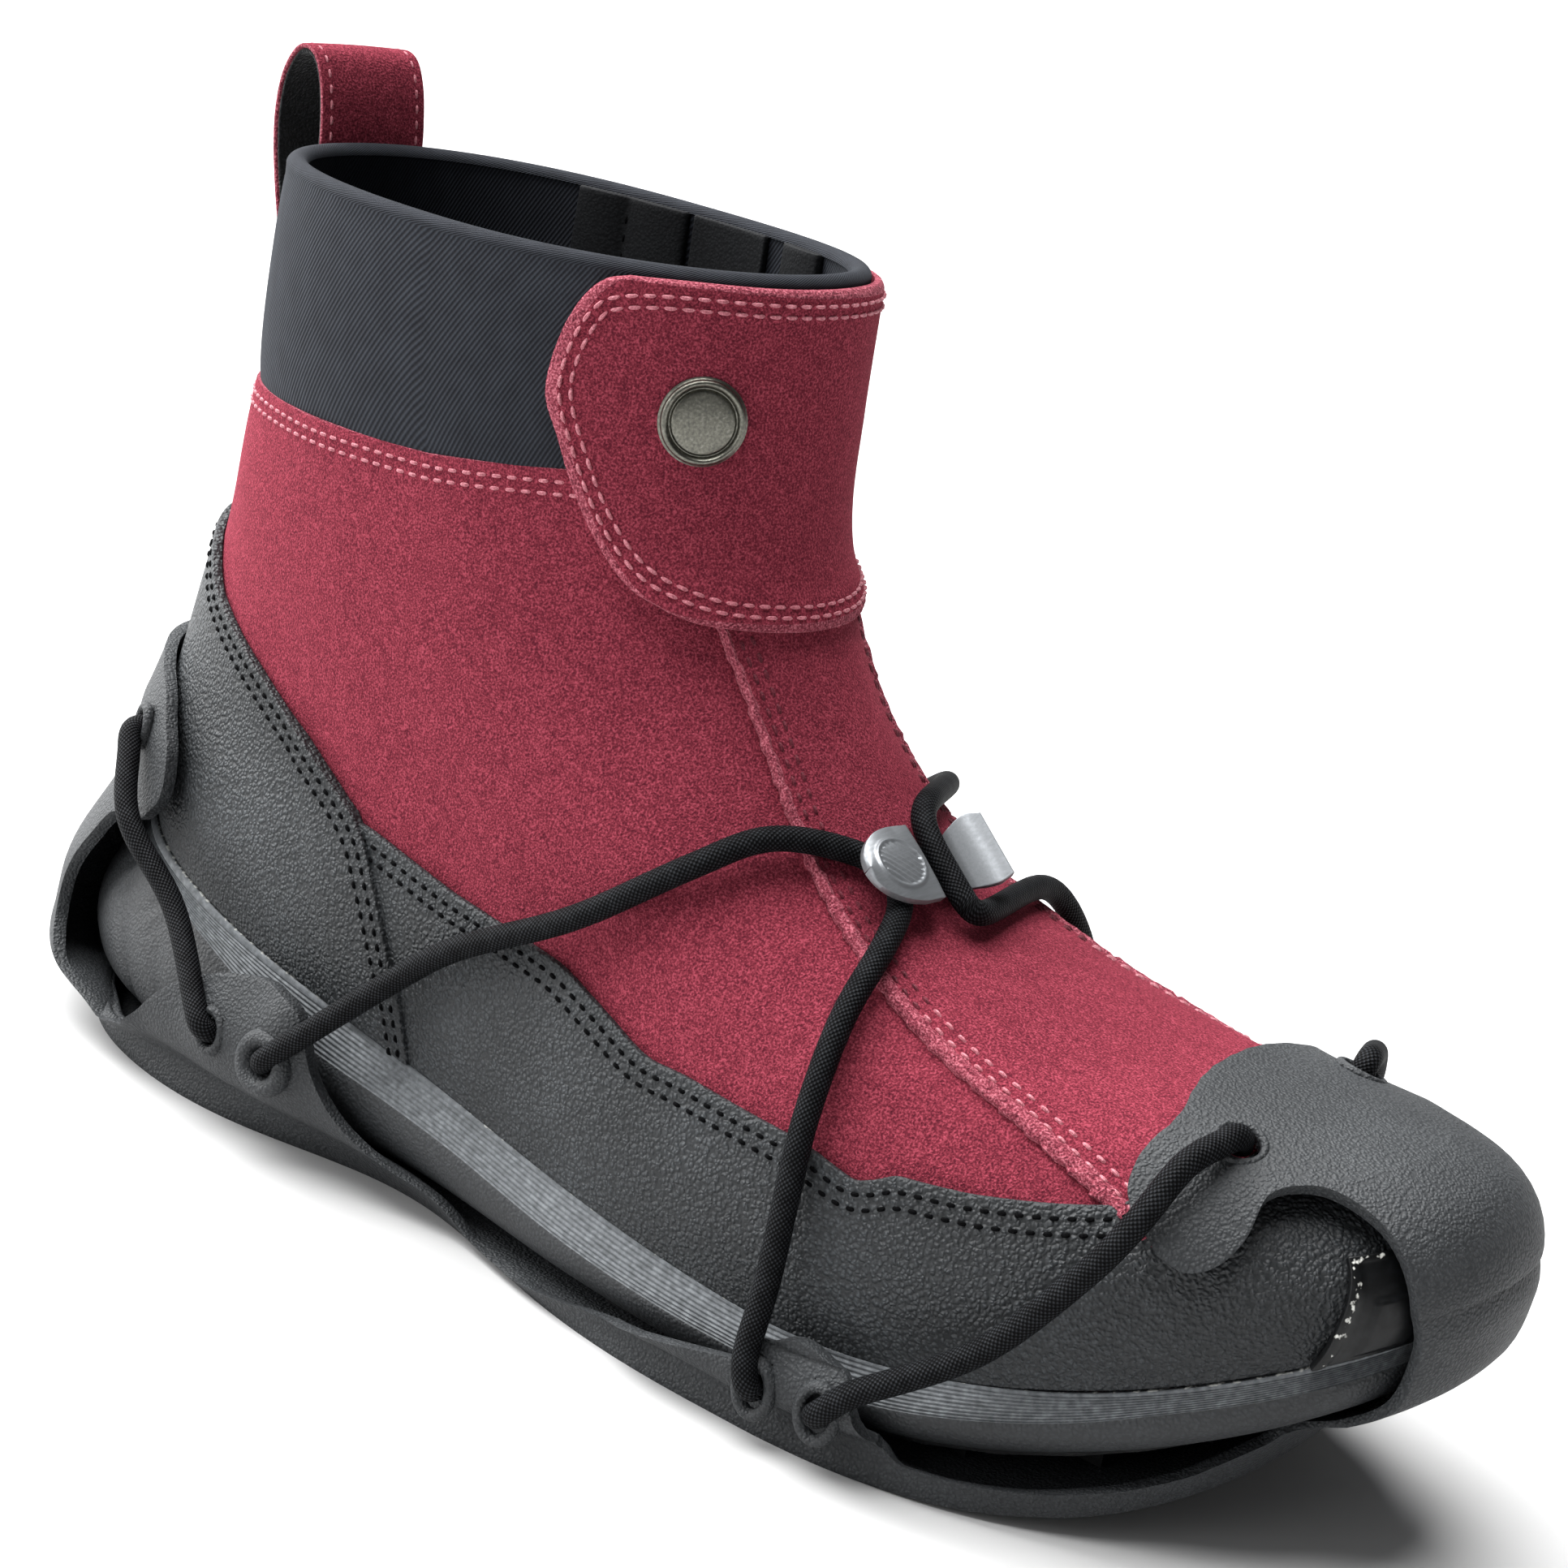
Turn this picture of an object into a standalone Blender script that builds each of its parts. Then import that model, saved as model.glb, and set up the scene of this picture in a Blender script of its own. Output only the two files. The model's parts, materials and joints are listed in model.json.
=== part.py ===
"""Right ankle boot wearing a strap-on rubber overshoe, standing on the floor.

Lengths are millimetres in the tables and metres in the scene. X runs to the toe, Y to the inner side
of the foot, Z up. The origin is on the floor under the middle of the heel tread.
"""
import math

import bmesh
import bpy
import numpy as np
from mathutils import Matrix, Vector

MM = 0.001
PI = math.pi
SHARP = math.radians(35)

# Driving dimensions
HEEL_SEAT = 45.0          # heel end of the last to the middle of the heel tread
SWING = 9.0               # the toe turns this far to the inner side
SWING_FROM = 150.0        # where the turn begins
SWING_LENGTH = 120.0
WAIST_AT = 88.0           # the narrow of the foot
WAIST_LENGTH = 42.0
GAP = 0.3                 # clearance between pieces that touch
SEAM_GAP = 0.4            # between the counter's edge and the rand's
HALF_SPAN = 80.0          # the overlays' outlines are carried this far to both sides
RAND_CLEAR = 1.2          # rand over the lip of the midsole
UPPER_WALL = 2.2
COLLAR_WALL = 3.0
OVERLAY = 1.2             # coated leather of rand and counter
VAMP_STEP = 1.1           # the vamp panel lies on the quarters
FLAP_WALL = 2.0
INSOLE = 4.0
SEAT_INSET = 6.0          # the midsole's floor ends this far inside the feather edge
RUBBER = 2.5              # moulded wall of the cover
LUG_CLEAR = RUBBER + GAP  # tread blocks stand on the floor of the cover
TREAD_PLATE = 1.6
PLATE_EDGE = [(3.0, TREAD_PLATE), (1.0, TREAD_PLATE / 2), (0.6, 0.0)]   # inset, depth
CORD = 4.6                # diameter of the elastic cord
CORD_STEP = 11.0          # spacing of the cord's sections
EYELET = 6.8
HEEL_SLOT = 1.7           # the heel eyelets are longer than they are wide
LOOP_WIDTH = 24.0
LOOP_WALL = 1.8
ZIP_TAPE = 14.0
ZIP_TEETH = 5.0
ZIP_SHEET = 0.9
ZIP_COIL = 1.6
SLIDER = (11.0, 9.0, 3.0)     # length, width, height
PULL = (24.0, 6.5, 1.5)
BADGE = 15.0
BADGE_SHEET = 1.6
BLOCK_EDGE = 0.4          # rounding of the zip's metal
HOOK_SHEET = 1.3
BUMPER_WALL = 1.4

# Rings of the last, from the feather edge to the collar. Each ring is a superellipse in plan whose back and
# front halves have their own power, and whose height goes from the back through the widest place to the front.
RING = ("x_back", "z_back", "x_front", "z_front", "x_wide", "z_mid", "outer", "inner",
        "n_back", "n_front", "waist_outer", "waist_inner", "toe_rise")
UPPER_RINGS = np.array([
    (-9.0, 43.0, 274.0, 40.0, 178.0, 17.0, 46.0, 45.0, 2.70, 2.35, 4.2, 7.8, 2.0),    # feather edge
    (-12.0, 55.0, 278.0, 52.0, 176.0, 31.0, 47.5, 46.5, 2.60, 2.35, 4.2, 7.8, 2.0),   # bulge over the sole
    (-12.0, 67.5, 273.0, 60.5, 168.0, 47.5, 46.0, 44.5, 2.50, 2.30, 3.5, 6.5, 2.0),   # toe shoulder
    (-11.0, 79.0, 250.0, 66.0, 150.0, 60.0, 43.0, 42.0, 2.35, 2.20, 2.1, 3.9, 2.0),   # toe crown
    (-9.0, 91.0, 212.5, 70.0, 125.0, 73.0, 40.5, 39.0, 2.25, 2.10, 0.7, 1.3, 2.0),    # vamp
    (-6.0, 104.0, 175.5, 81.0, 102.0, 89.5, 39.0, 37.0, 2.20, 2.00, 0.0, 0.0, 2.0),   # instep
    (-3.0, 120.0, 147.5, 103.5, 84.0, 109.0, 38.5, 36.5, 2.20, 2.00, 0.0, 0.0, 2.0),  # ankle
    (1.0, 139.0, 131.5, 131.0, 73.0, 133.0, 38.5, 37.0, 2.20, 2.05, 0.0, 0.0, 2.0),   # foot of the flap
    (4.0, 160.0, 127.0, 159.0, 68.0, 158.0, 39.0, 38.0, 2.25, 2.10, 0.0, 0.0, 2.0),   # shaft
    (5.0, 183.0, 126.5, 185.0, 66.0, 183.0, 40.0, 39.5, 2.25, 2.10, 0.0, 0.0, 2.0),   # collar
])
SOLE_RINGS = np.array([
    (-12.0, 8.0, 262.0, 25.0, 180.0, 6.0, 48.0, 47.0, 3.10, 2.30, 7.7, 14.3, 2.0),    # foot of the wall
    (-20.0, 14.0, 272.0, 31.0, 180.0, 9.0, 50.5, 49.0, 3.20, 2.35, 6.3, 11.7, 2.0),  # flare
    (-22.0, 26.0, 279.0, 38.0, 179.0, 13.0, 50.5, 49.0, 3.10, 2.35, 4.9, 9.1, 2.0),   # middle of the wall
    (-12.0, 45.0, 280.0, 48.0, 178.0, 18.0, 48.0, 47.0, 2.75, 2.35, 4.2, 7.8, 2.0),   # lip
])
FLOOR_RING = np.array([(-15.0, 0.0, 256.0, 14.0, 182.0, 0.0, 51.0, 48.0, 3.2, 2.30, 15.0, 17.0, 4.0)])
HULL_RINGS = np.vstack((FLOOR_RING, SOLE_RINGS, UPPER_RINGS[1:5]))   # what the cover is stretched over
BACK_RISE = 1.25          # how a ring's height climbs to the heel, as toe_rise does to the toe
ARCH = 7.0                # the tread lifts off the floor under the arch
ARCH_AT = 88.0
ARCH_LENGTH = 30.0

# The edge of the vamp panel: ring, and half turns from the back
SEAM = np.array([(2.4, 0.710), (3.1, 0.711), (3.6, 0.719), (4.2, 0.742), (4.7, 0.775),
                 (5.1, 0.797), (5.5, 0.817), (5.9, 0.833), (6.3, 0.836), (6.7, 0.822)])
SEAM_COLUMN = 0.77        # the grid column that is bent to follow it
SEAM_STEP = 0.006
SEAM_REACH = 0.20
PANEL_FOOT = (1.2, 2.4)   # the step fades out between these rings, under the rand
PANEL_TOP = 6.6           # and above this one, under the flap
PANEL_FADE = 0.4
UPPER_LEVELS = (0.0, 0.42, 1.0, 1.5, 2.0, 2.5, 3.0, 3.5, 4.0, 4.67, 5.33, 6.0, 6.7)
COLLAR_LINE = 7.34        # the suede ends here, lower at the back
COLLAR_TILT = 0.36
COLLAR_SEAM = 0.02
COLLAR_ROLL = np.array((0.0, 0.0, 0.0, 0.1, 0.9))[:, None]   # how the rim is rounded off, row by row
RIM = 9.0                 # the collar ends at this ring

# Side-view outlines (x, z) of the overlays
COUNTER_SEAM = [(90.0, 10.0), (85.0, 40.4), (78.2, 51.0), (72.8, 60.4), (69.0, 66.0)]
RAND_TOP = [(92.0, 64.0), (108.5, 62.5), (121.0, 61.0), (135.5, 56.0), (146.5, 51.7), (154.0, 53.0),
            (166.0, 51.8), (178.5, 50.8), (190.0, 49.2), (199.0, 51.0), (210.0, 52.5), (222.0, 54.8),
            (231.0, 57.2), (243.0, 68.0), (250.0, 90.0)]
COUNTER_TOP = [(61.2, 71.4), (48.2, 79.0), (31.3, 86.3), (16.5, 92.3), (9.6, 95.0), (2.0, 103.0),
               (-6.0, 108.0)]
FLAP_EDGE = [(106.0, 195.0), (101.6, 182.3), (98.2, 177.1), (95.6, 171.0), (94.1, 163.2), (94.1, 157.5),
             (97.1, 151.2), (100.8, 143.3), (106.6, 134.3), (112.9, 127.9), (117.9, 125.1), (123.9, 123.2),
             (131.0, 121.5)]
RAND_BELOW = [(310.0, 90.0), (310.0, 5.0)]              # clear of the rand, closing its outline
COUNTER_BEHIND = [(-60.0, 112.0), (-60.0, 10.0)]
FLAP_AWAY = [(131.0, 100.0), (50.0, 100.0), (50.0, 195.0)]   # cut away behind the flap's edge
RAND_REACH = 4.0          # rings that the sheets for rand and counter are cut from
COUNTER_REACH = 5.3
FLAP_FROM = 0.60
FLAP_END = 1.30           # sewn down beside the zip
BADGE_AT = (8.0, 0.811)   # ring, half turns

# The cover's upper edge round the outer side: half turns from the back, ring reached, lift off the sole
COVER_EDGE = np.array([
    (0.00, 2.2, 7.0), (0.05, 2.2, 7.0), (0.10, 2.2, 7.0), (0.16, 1.8, 8.0), (0.20, 1.0, 9.0), (0.24, 1.5, 6.0),
    (0.27, 2.4, 3.5), (0.30, 3.6, 4.2), (0.32, 4.05, 5.5), (0.345, 3.95, 5.5), (0.37, 3.5, 4.5),
    (0.397, 2.9, 3.0), (0.417, 2.3, 2.5), (0.44, 0.75, 2.0), (0.465, 0.45, 2.0), (0.486, 0.80, 6.0),
    (0.493, 1.8, 6.5), (0.503, 3.2, 5.6), (0.516, 4.2, 4.8), (0.53, 4.3, 4.4), (0.545, 3.9, 4.2),
    (0.561, 2.6, 3.8), (0.59, 0.75, 2.5), (0.64, 0.45, 2.0), (0.70, 0.45, 2.0), (0.76, 0.5, 2.0),
    (0.82, 0.55, 1.6), (0.88, 0.8, 1.2), (0.92, 1.0, 1.2), (0.96, 1.0, 1.2), (1.0, 1.0, 1.2)])
COVER_ROWS = 3
HEEL_HALF = 0.16          # columns that the heel strap grows from
TOE_HALF = 0.12           # and the toe strap
# Straps above the cover's edge: ring, half-width in half turns, lift off the boot
HEEL_BAND = np.array([(3.0, 0.135, 7.5), (4.0, 0.140, 7.0), (4.7, 0.178, 6.0), (5.3, 0.196, 5.2),
                      (5.9, 0.192, 4.6), (6.25, 0.172, 3.8), (6.65, 0.150, 3.2), (6.95, 0.115, 3.0)])
TOE_BAND = np.array([(2.0, 0.112, 1.6), (3.0, 0.11, 2.2), (4.0, 0.11, 3.4), (5.0, 0.112, 5.4),
                     (5.8, 0.118, 6.3), (6.55, 0.12, 5.8)])
# Arms of the toe strap: half turns, lower ring, upper ring
TOE_ARMS = np.array([(0.716, 6.12, 6.36), (0.728, 6.00, 6.53), (0.75, 5.98, 6.72), (0.79, 6.34, 6.99),
                     (0.835, 6.60, 7.20), (0.88, 6.55, 7.40), (0.92, 6.55, 7.52), (0.96, 6.55, 7.58),
                     (1.0, 6.55, 7.6)])
ARM_LIFT = 3.6
ARM_ROWS = 3

# Eyelets: ring of the hull, half turns
REAR_EYELETS = ((2.95, 0.314), (3.0, 0.345))
FRONT_EYELETS = ((2.5, 0.509), (2.45, 0.540))
HEEL_EYELET = (5.85, 0.142)
TOE_EYELET = (6.93, 0.850)

# Cord over the last: ring of the upper, half turns, height of its middle, more height over the zip's side
REAR_RUN = [(1.30, 0.374, 5.8, 0.0), (2.10, 0.400, 5.2, 0.0), (2.85, 0.431, 4.8, 0.4), (3.5, 0.468, 4.0, 3.3),
            (4.09, 0.514, 3.6, 4.0), (4.85, 0.656, 3.8, 1.2), (5.31, 0.775, 4.4, 0.3)]
FRONT_RUN = [(5.02, 0.872, 4.6, 0.4), (4.55, 0.783, 4.6, 0.0), (3.79, 0.664, 4.0, 0.0),
             (2.65, 0.556, 4.2, 0.0), (1.75, 0.520, 5.2, 0.0), (0.90, 0.510, 7.8, 0.0),
             (0.1, 0.508, 13.0, 0.0)]
UNDER_PLATE = [(5.30, 0.885, 4.0, 0.0)]
TOE_RUN = [(2.62, 0.775, 11.2, 0.0), (2.2, 0.722, 9.4, 0.0), (1.7, 0.675, 6.8, 0.0), (0.8, 0.615, 6.8, 0.0),
           (0.1, 0.560, 12.0, 0.0)]
HEEL_RUN = [(0.95, 0.190, 12.5, 0.0), (0.20, 0.235, 10.0, 0.0)]
EYELET_STAND = 7.0        # the cord comes straight out of an eyelet for this far
EYELET_TURN = 6.0         # and then heads for its next place

# Hook, a bent strip across the instep: place along it, height over the vamp, width
HOOK_AT = (5.24, 0.965)
HOOK = np.array([(-18.5, 7.0, 6.0), (-16.0, 7.3, 11.5), (-12.0, 7.6, 14.5), (-6.5, 7.4, 15.0),
                 (-4.0, 6.0, 12.0), (-2.4, 3.6, 9.5), (0.0, 2.5, 9.0), (2.6, 3.6, 9.5),
                 (4.6, 6.5, 12.5), (7.0, 9.2, 14.5), (10.0, 10.6, 13.0)])
# The inner cord in the saddle and round the flange: place along the hook, across it, height
SADDLE = [(7.0, -14.0, 4.4), (2.5, -11.0, 5.2), (0.0, -6.0, 5.7), (0.0, 6.0, 5.7), (2.5, 11.0, 5.2),
          (7.0, 14.0, 4.4)]

# Pull loop in side view (behind the collar's rim, height): inner face, from the rear foot over the top to the
# front foot; the strap is sewn outside the collar
LOOP = [(6.3, 140.0), (6.5, 148.0), (8.4, 156.0), (11.2, 163.5), (13.8, 171.5), (15.6, 179.5), (16.0, 186.5),
        (14.6, 193.0), (11.0, 197.6), (7.0, 197.4), (4.4, 193.2), (3.0, 187.0), (2.4, 181.0), (2.7, 172.0),
        (3.2, 160.0), (4.6, 150.0), (5.9, 140.0)]
LOOP_AT = (5.9, 8.5)      # the back seam on the collar's rim
LOOP_TURN = math.radians(13.0)   # the collar's back faces this far to the inner side

# Zip on the inner side: ring, half turns, top to bottom
ZIP = np.array([(8.90, 1.372), (8.0, 1.378), (7.0, 1.388), (6.0, 1.402), (5.0, 1.42), (4.0, 1.445),
                (3.3, 1.465)])
ZIP_ROWS = 12
SLIDER_AT = 8.70
HINGE_DOWN = 1.5          # pull's axle from the slider's middle, towards the foot
PULL_STAND = 0.7          # the pull reaches this far past its axle

# Tread blocks: x, y, length, width
LUGS = [(2.0, 0.0, 10.0, 38.0), (16.0, -18.0, 13.0, 24.0), (16.0, 18.0, 13.0, 24.0),
        (36.0, -19.0, 13.0, 22.0), (36.0, 17.0, 13.0, 20.0), (54.0, -19.0, 12.0, 20.0),
        (54.0, 15.0, 12.0, 18.0), (128.0, -24.0, 13.0, 26.0), (128.0, 16.0, 13.0, 26.0),
        (148.0, -27.0, 13.0, 30.0), (148.0, 20.0, 13.0, 28.0), (168.0, -27.0, 13.0, 32.0),
        (168.0, 23.0, 13.0, 30.0), (188.0, -26.0, 13.0, 32.0), (188.0, 24.0, 13.0, 30.0),
        (208.0, -20.0, 13.0, 28.0), (208.0, 25.0, 13.0, 28.0), (228.0, -10.0, 12.0, 24.0),
        (228.0, 25.0, 12.0, 22.0), (241.0, 9.0, 10.0, 30.0)]

# Ribbed band of the midsole's side: half turns, ring where it starts
RIB_FOOT = np.array([(0.0, 2.80), (0.2, 2.75), (0.28, 2.62), (0.35, 2.2), (0.41, 2.0), (0.45, 1.9),
                     (0.485, 1.35), (0.55, 1.35), (0.62, 1.9), (0.72, 2.4), (1.0, 2.6)])
RIB_TOP = 2.93
RIBS = 3
RIB_DEPTH = 0.7
LIP_FALL = 1.0            # the lip falls towards the upper
BUMPER_HALF = (0.18, 0.152)   # half-width at its foot and at its top, in half turns
BUMPER_TOP = 1.9

COLOURS = {   # linear colour, roughness, metallic
    "suede": ((0.195, 0.026, 0.040), 0.95, 0.0),
    "neoprene": ((0.016, 0.019, 0.025), 0.85, 0.0),
    "coated_leather": ((0.022, 0.024, 0.027), 0.6, 0.0),
    "midsole_foam": ((0.055, 0.058, 0.062), 0.55, 0.0),
    "sole_rubber": ((0.014, 0.015, 0.016), 0.7, 0.0),
    "cover_rubber": ((0.035, 0.037, 0.040), 0.65, 0.0),
    "cord_textile": ((0.012, 0.012, 0.013), 0.8, 0.0),
    "satin_metal": ((0.55, 0.56, 0.57), 0.35, 1.0),
    "zip_nylon": ((0.02, 0.02, 0.022), 0.5, 0.0),
    "insole_felt": ((0.02, 0.02, 0.023), 0.95, 0.0),
}


def column(rows, name):
    """One named column of rows of a ring table."""
    return rows[..., RING.index(name)]


def through(table, level):
    """Rows of a table at fractional row numbers, on a smooth curve through them."""
    end = len(table) - 1
    level = np.clip(np.asarray(level, float), 0.0, end)
    i = np.minimum(level.astype(int), end - 1)
    f = (level - i)[..., None]
    p1, p2 = table[i], table[i + 1]
    p0 = np.where((i == 0)[..., None], 2 * p1 - p2, table[np.maximum(i - 1, 0)])
    p3 = np.where((i == end - 1)[..., None], 2 * p2 - p1, table[np.minimum(i + 2, end)])
    return 0.5 * (2 * p1 + (p2 - p0) * f + (2 * p0 - 5 * p1 + 4 * p2 - p3) * f ** 2
                  + (3 * p1 - p0 - 3 * p2 + p3) * f ** 3)


def ring_height(row, x):
    """Height of a ring over a place along the foot."""
    z_mid, x_wide = column(row, "z_mid"), column(row, "x_wide")
    to_back = np.clip((x_wide - x) / (x_wide - column(row, "x_back")), 0, 1) ** BACK_RISE
    to_front = np.clip((x - x_wide) / (column(row, "x_front") - x_wide), 0, 1) ** column(row, "toe_rise")
    return z_mid + (column(row, "z_back") - z_mid) * to_back + (column(row, "z_front") - z_mid) * to_front


def ring_point(table, level, turn):
    """Points of the lofted surface; turn is in half turns, 0 at the back, 0.5 outer, 1 front, 1.5 inner."""
    level, turn = np.broadcast_arrays(np.asarray(level, float), np.asarray(turn, float))
    row = through(table, level)
    along, across = -np.cos(turn * PI), np.sin(turn * PI)
    x_back, x_front, x_wide = column(row, "x_back"), column(row, "x_front"), column(row, "x_wide")
    power = 2.0 / np.where(along > 0, column(row, "n_front"), column(row, "n_back"))
    length = np.where(along > 0, x_front - x_wide, x_wide - x_back)
    x = x_wide + length * np.sign(along) * np.abs(along) ** power
    outer = across > 0
    half = np.where(outer, column(row, "outer"), column(row, "inner"))
    waist = np.where(outer, column(row, "waist_outer"), column(row, "waist_inner"))
    narrow = 1.0 - waist * np.exp(-((x - WAIST_AT) / WAIST_LENGTH) ** 2) / half
    y = -half * np.sign(across) * np.abs(across) ** power * narrow
    y = y + SWING * np.clip((x - SWING_FROM) / SWING_LENGTH, 0, None) ** 2
    return np.stack((x, y, ring_height(row, x)), axis=-1)


def normal_at(table, level, turn):
    """Unit outward normals of the lofted surface."""
    step_level, step_turn = 0.02, 0.002
    above = ring_point(table, np.minimum(level + step_level, len(table) - 1), turn)
    below = ring_point(table, np.maximum(level - step_level, 0.0), turn)
    ahead = ring_point(table, level, turn + step_turn) - ring_point(table, level, turn - step_turn)
    normal = np.cross(ahead, above - below)
    return normal / np.linalg.norm(normal, axis=-1, keepdims=True)


def skin(table, level, turn, out=0.0):
    """Points that stand a distance out of the lofted surface."""
    level, turn = np.broadcast_arrays(np.asarray(level, float), np.asarray(turn, float))
    return ring_point(table, level, turn) + normal_at(table, level, turn) * np.asarray(out, float)[..., None]


def bend(level, place):
    """Half turns of a grid column: columns near the vamp's edge are bent to follow it, on both sides."""
    seam = np.interp(level, SEAM[:, 0], SEAM[:, 1])
    side = np.where(place > 1, 2 - place, place)
    near = np.clip(1 - np.abs(side - SEAM_COLUMN) / SEAM_REACH, 0, 1)
    bent = side + (seam - SEAM_COLUMN) * near * near * (3 - 2 * near)
    return np.where(place > 1, 2 - bent, bent)


def last_skin(level, place, out=0.0, panel=True):
    """Outside of the upper, or a surface parallel to it; the vamp panel stands up by its own thickness."""
    level, place = np.broadcast_arrays(np.asarray(level, float), np.asarray(place, float))
    on_vamp = np.abs(place - 1) < 1 - SEAM_COLUMN - SEAM_STEP / 2
    fade = np.interp(level, PANEL_FOOT, (0, 1)) * np.clip((PANEL_TOP - level) / PANEL_FADE, 0, 1)
    lift = VAMP_STEP * on_vamp * fade * panel
    return skin(UPPER_RINGS, level, bend(level, place), np.asarray(out, float) + lift)


def both_sides(half):
    """Columns of the outer side, back to front, followed by their mirror on the inner side."""
    half = np.asarray(half, float)
    return np.concatenate((half, 2 - half[-2:0:-1]))


def mirrored(place):
    """Half turns from the back on either side."""
    return np.where(place > 1, 2 - place, place)


COLUMNS = both_sides(np.concatenate((np.linspace(0, SEAM_COLUMN, 15),
                                     np.linspace(SEAM_COLUMN + SEAM_STEP, 1, 6))))


def new_collection(name):
    """A collection in the scene."""
    group = bpy.data.collections.new(name)
    bpy.context.scene.collection.children.link(group)
    return group


def finish(name):
    """The Principled material of a finish, made once."""
    if name in bpy.data.materials:
        return bpy.data.materials[name]
    colour, roughness, metallic = COLOURS[name]
    material = bpy.data.materials.new(name)
    material.use_nodes = True
    shader = material.node_tree.nodes["Principled BSDF"]
    shader.inputs["Base Color"].default_value = (*colour, 1.0)
    shader.inputs["Roughness"].default_value = roughness
    shader.inputs["Metallic"].default_value = metallic
    return material


def to_scene(points):
    """Last coordinates in millimetres to scene coordinates in metres."""
    return (np.asarray(points, float).reshape(-1, 3) - (HEEL_SEAT, 0.0, 0.0)) * MM


def add_object(name, data, group, material=None):
    """An object in a collection, under the boot's empty, with its material."""
    thing = bpy.data.objects.new(name, data)
    group.objects.link(thing)
    thing.parent = ROOT
    if material:
        data.materials.append(finish(material))
    return thing


def mesh_object(name, points, faces, material):
    """A part from points in last coordinates."""
    mesh = bpy.data.meshes.new(name)
    mesh.from_pydata(to_scene(points).tolist(), [], faces)
    mesh.shade_smooth()
    mesh.set_sharp_from_angle(angle=SHARP)
    return add_object(name, mesh, PARTS, material)


def grid_faces(numbers, wrap):
    """Quads of a grid of vertex numbers, rows upwards and columns from the back over the outer side."""
    right = np.roll(numbers, -1, axis=1)
    quads = np.stack((numbers[:-1], right[:-1], right[1:], numbers[1:]), axis=-1)
    return (quads if wrap else quads[:, :-1]).reshape(-1, 4).tolist()


def sheet(name, outer, inner, faces, material):
    """A wall between two faces with the same layout, closed along every free edge."""
    count = len(outer)
    edges = {(face[k - 1], face[k]) for face in faces for k in range(len(face))}
    rim = [(b, a, a + count, b + count) for a, b in edges if (b, a) not in edges]
    behind = [[k + count for k in face[::-1]] for face in faces]
    return mesh_object(name, np.concatenate((outer, inner)), faces + behind + sorted(rim), material)


def skin_solid(name, outer, inner, wrap, material):
    """A wall between two grids of points."""
    numbers = np.arange(outer.shape[0] * outer.shape[1]).reshape(outer.shape[:2])
    return sheet(name, outer.reshape(-1, 3), inner.reshape(-1, 3), grid_faces(numbers, wrap), material)


def cap_faces(ring):
    """Faces across a closed ring of vertex numbers, outer side to inner side, facing up."""
    count = len(ring)
    faces = []
    for i in range(count // 2):
        corners = [int(ring[k % count]) for k in (i, i + 1, count - i - 1, count - i)]
        faces.append(list(dict.fromkeys(corners)))
    return faces


def loft_solid(name, rings, material):
    """A body through closed rings of points from below to above, capped across at both ends."""
    count = len(rings[0])
    numbers = np.arange(len(rings) * count).reshape(len(rings), count)
    faces = grid_faces(numbers, True) + cap_faces(numbers[-1])
    faces += [face[::-1] for face in cap_faces(numbers[0])]
    return mesh_object(name, np.concatenate(rings), faces, material)


def strip_solid(name, points, thickness, material):
    """A sheet from a grid of points; its thickness goes behind its face."""
    numbers = np.arange(points.shape[0] * points.shape[1]).reshape(points.shape[:2])
    thing = mesh_object(name, points, grid_faces(numbers, False), material)
    thicken(thing, thickness)
    return thing


def thicken(thing, thickness):
    """Give an open surface its wall, inwards."""
    wall = thing.modifiers.new("wall", "SOLIDIFY")
    wall.thickness = thickness * MM
    wall.offset = -1.0
    wall.use_even_offset = True
    wall.use_quality_normals = True


def cutter(name, shape):
    """A hidden object, from a bmesh, that others are cut with."""
    mesh = bpy.data.meshes.new(name)
    shape.to_mesh(mesh)
    shape.free()
    thing = add_object(name, mesh, CUTTERS)
    thing.hide_render = True
    thing.display_type = "WIRE"
    return thing


def prism(name, outline, y_low, y_high):
    """A cutter: a side-view outline (x, z) carried across the boot."""
    shape = bmesh.new()
    corners = [shape.verts.new(to_scene((x, y_low, z))[0]) for x, z in outline]
    grown = bmesh.ops.extrude_face_region(shape, geom=[shape.faces.new(corners)])
    moved = [v for v in grown["geom"] if isinstance(v, bmesh.types.BMVert)]
    bmesh.ops.translate(shape, verts=moved, vec=(0, (y_high - y_low) * MM, 0))
    bmesh.ops.recalc_face_normals(shape, faces=shape.faces)
    return cutter(name, shape)


def boolean(thing, tool, operation):
    """Cut, keep or join with another object."""
    change = thing.modifiers.new(operation.lower(), "BOOLEAN")
    change.operation = operation
    change.solver = "EXACT"
    change.object = tool


def axes_at(normal, hint):
    """Rotation whose X runs along the hint in the tangent plane and whose Z is the normal."""
    up = Vector(normal).normalized()
    along = Vector(hint)
    along = (along - up * up.dot(along)).normalized()
    return Matrix((along, up.cross(along), up)).transposed()


def block(name, size, place, rotation, shift, material):
    """A box with rounded edges; its origin is at the place and its middle is shifted from it."""
    shape = bmesh.new()
    middle = Matrix.Translation(Vector(shift) * MM)
    bmesh.ops.create_cube(shape, size=1.0, matrix=middle @ Matrix.Diagonal((*(Vector(size) * MM), 1.0)))
    mesh = bpy.data.meshes.new(name)
    shape.to_mesh(mesh)
    shape.free()
    thing = add_object(name, mesh, PARTS, material)
    thing.matrix_world = Matrix.Translation(Vector(to_scene(place)[0])) @ rotation.to_4x4()
    edge = thing.modifiers.new("edges", "BEVEL")
    edge.width = BLOCK_EDGE * MM
    edge.segments = 1
    return thing


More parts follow.
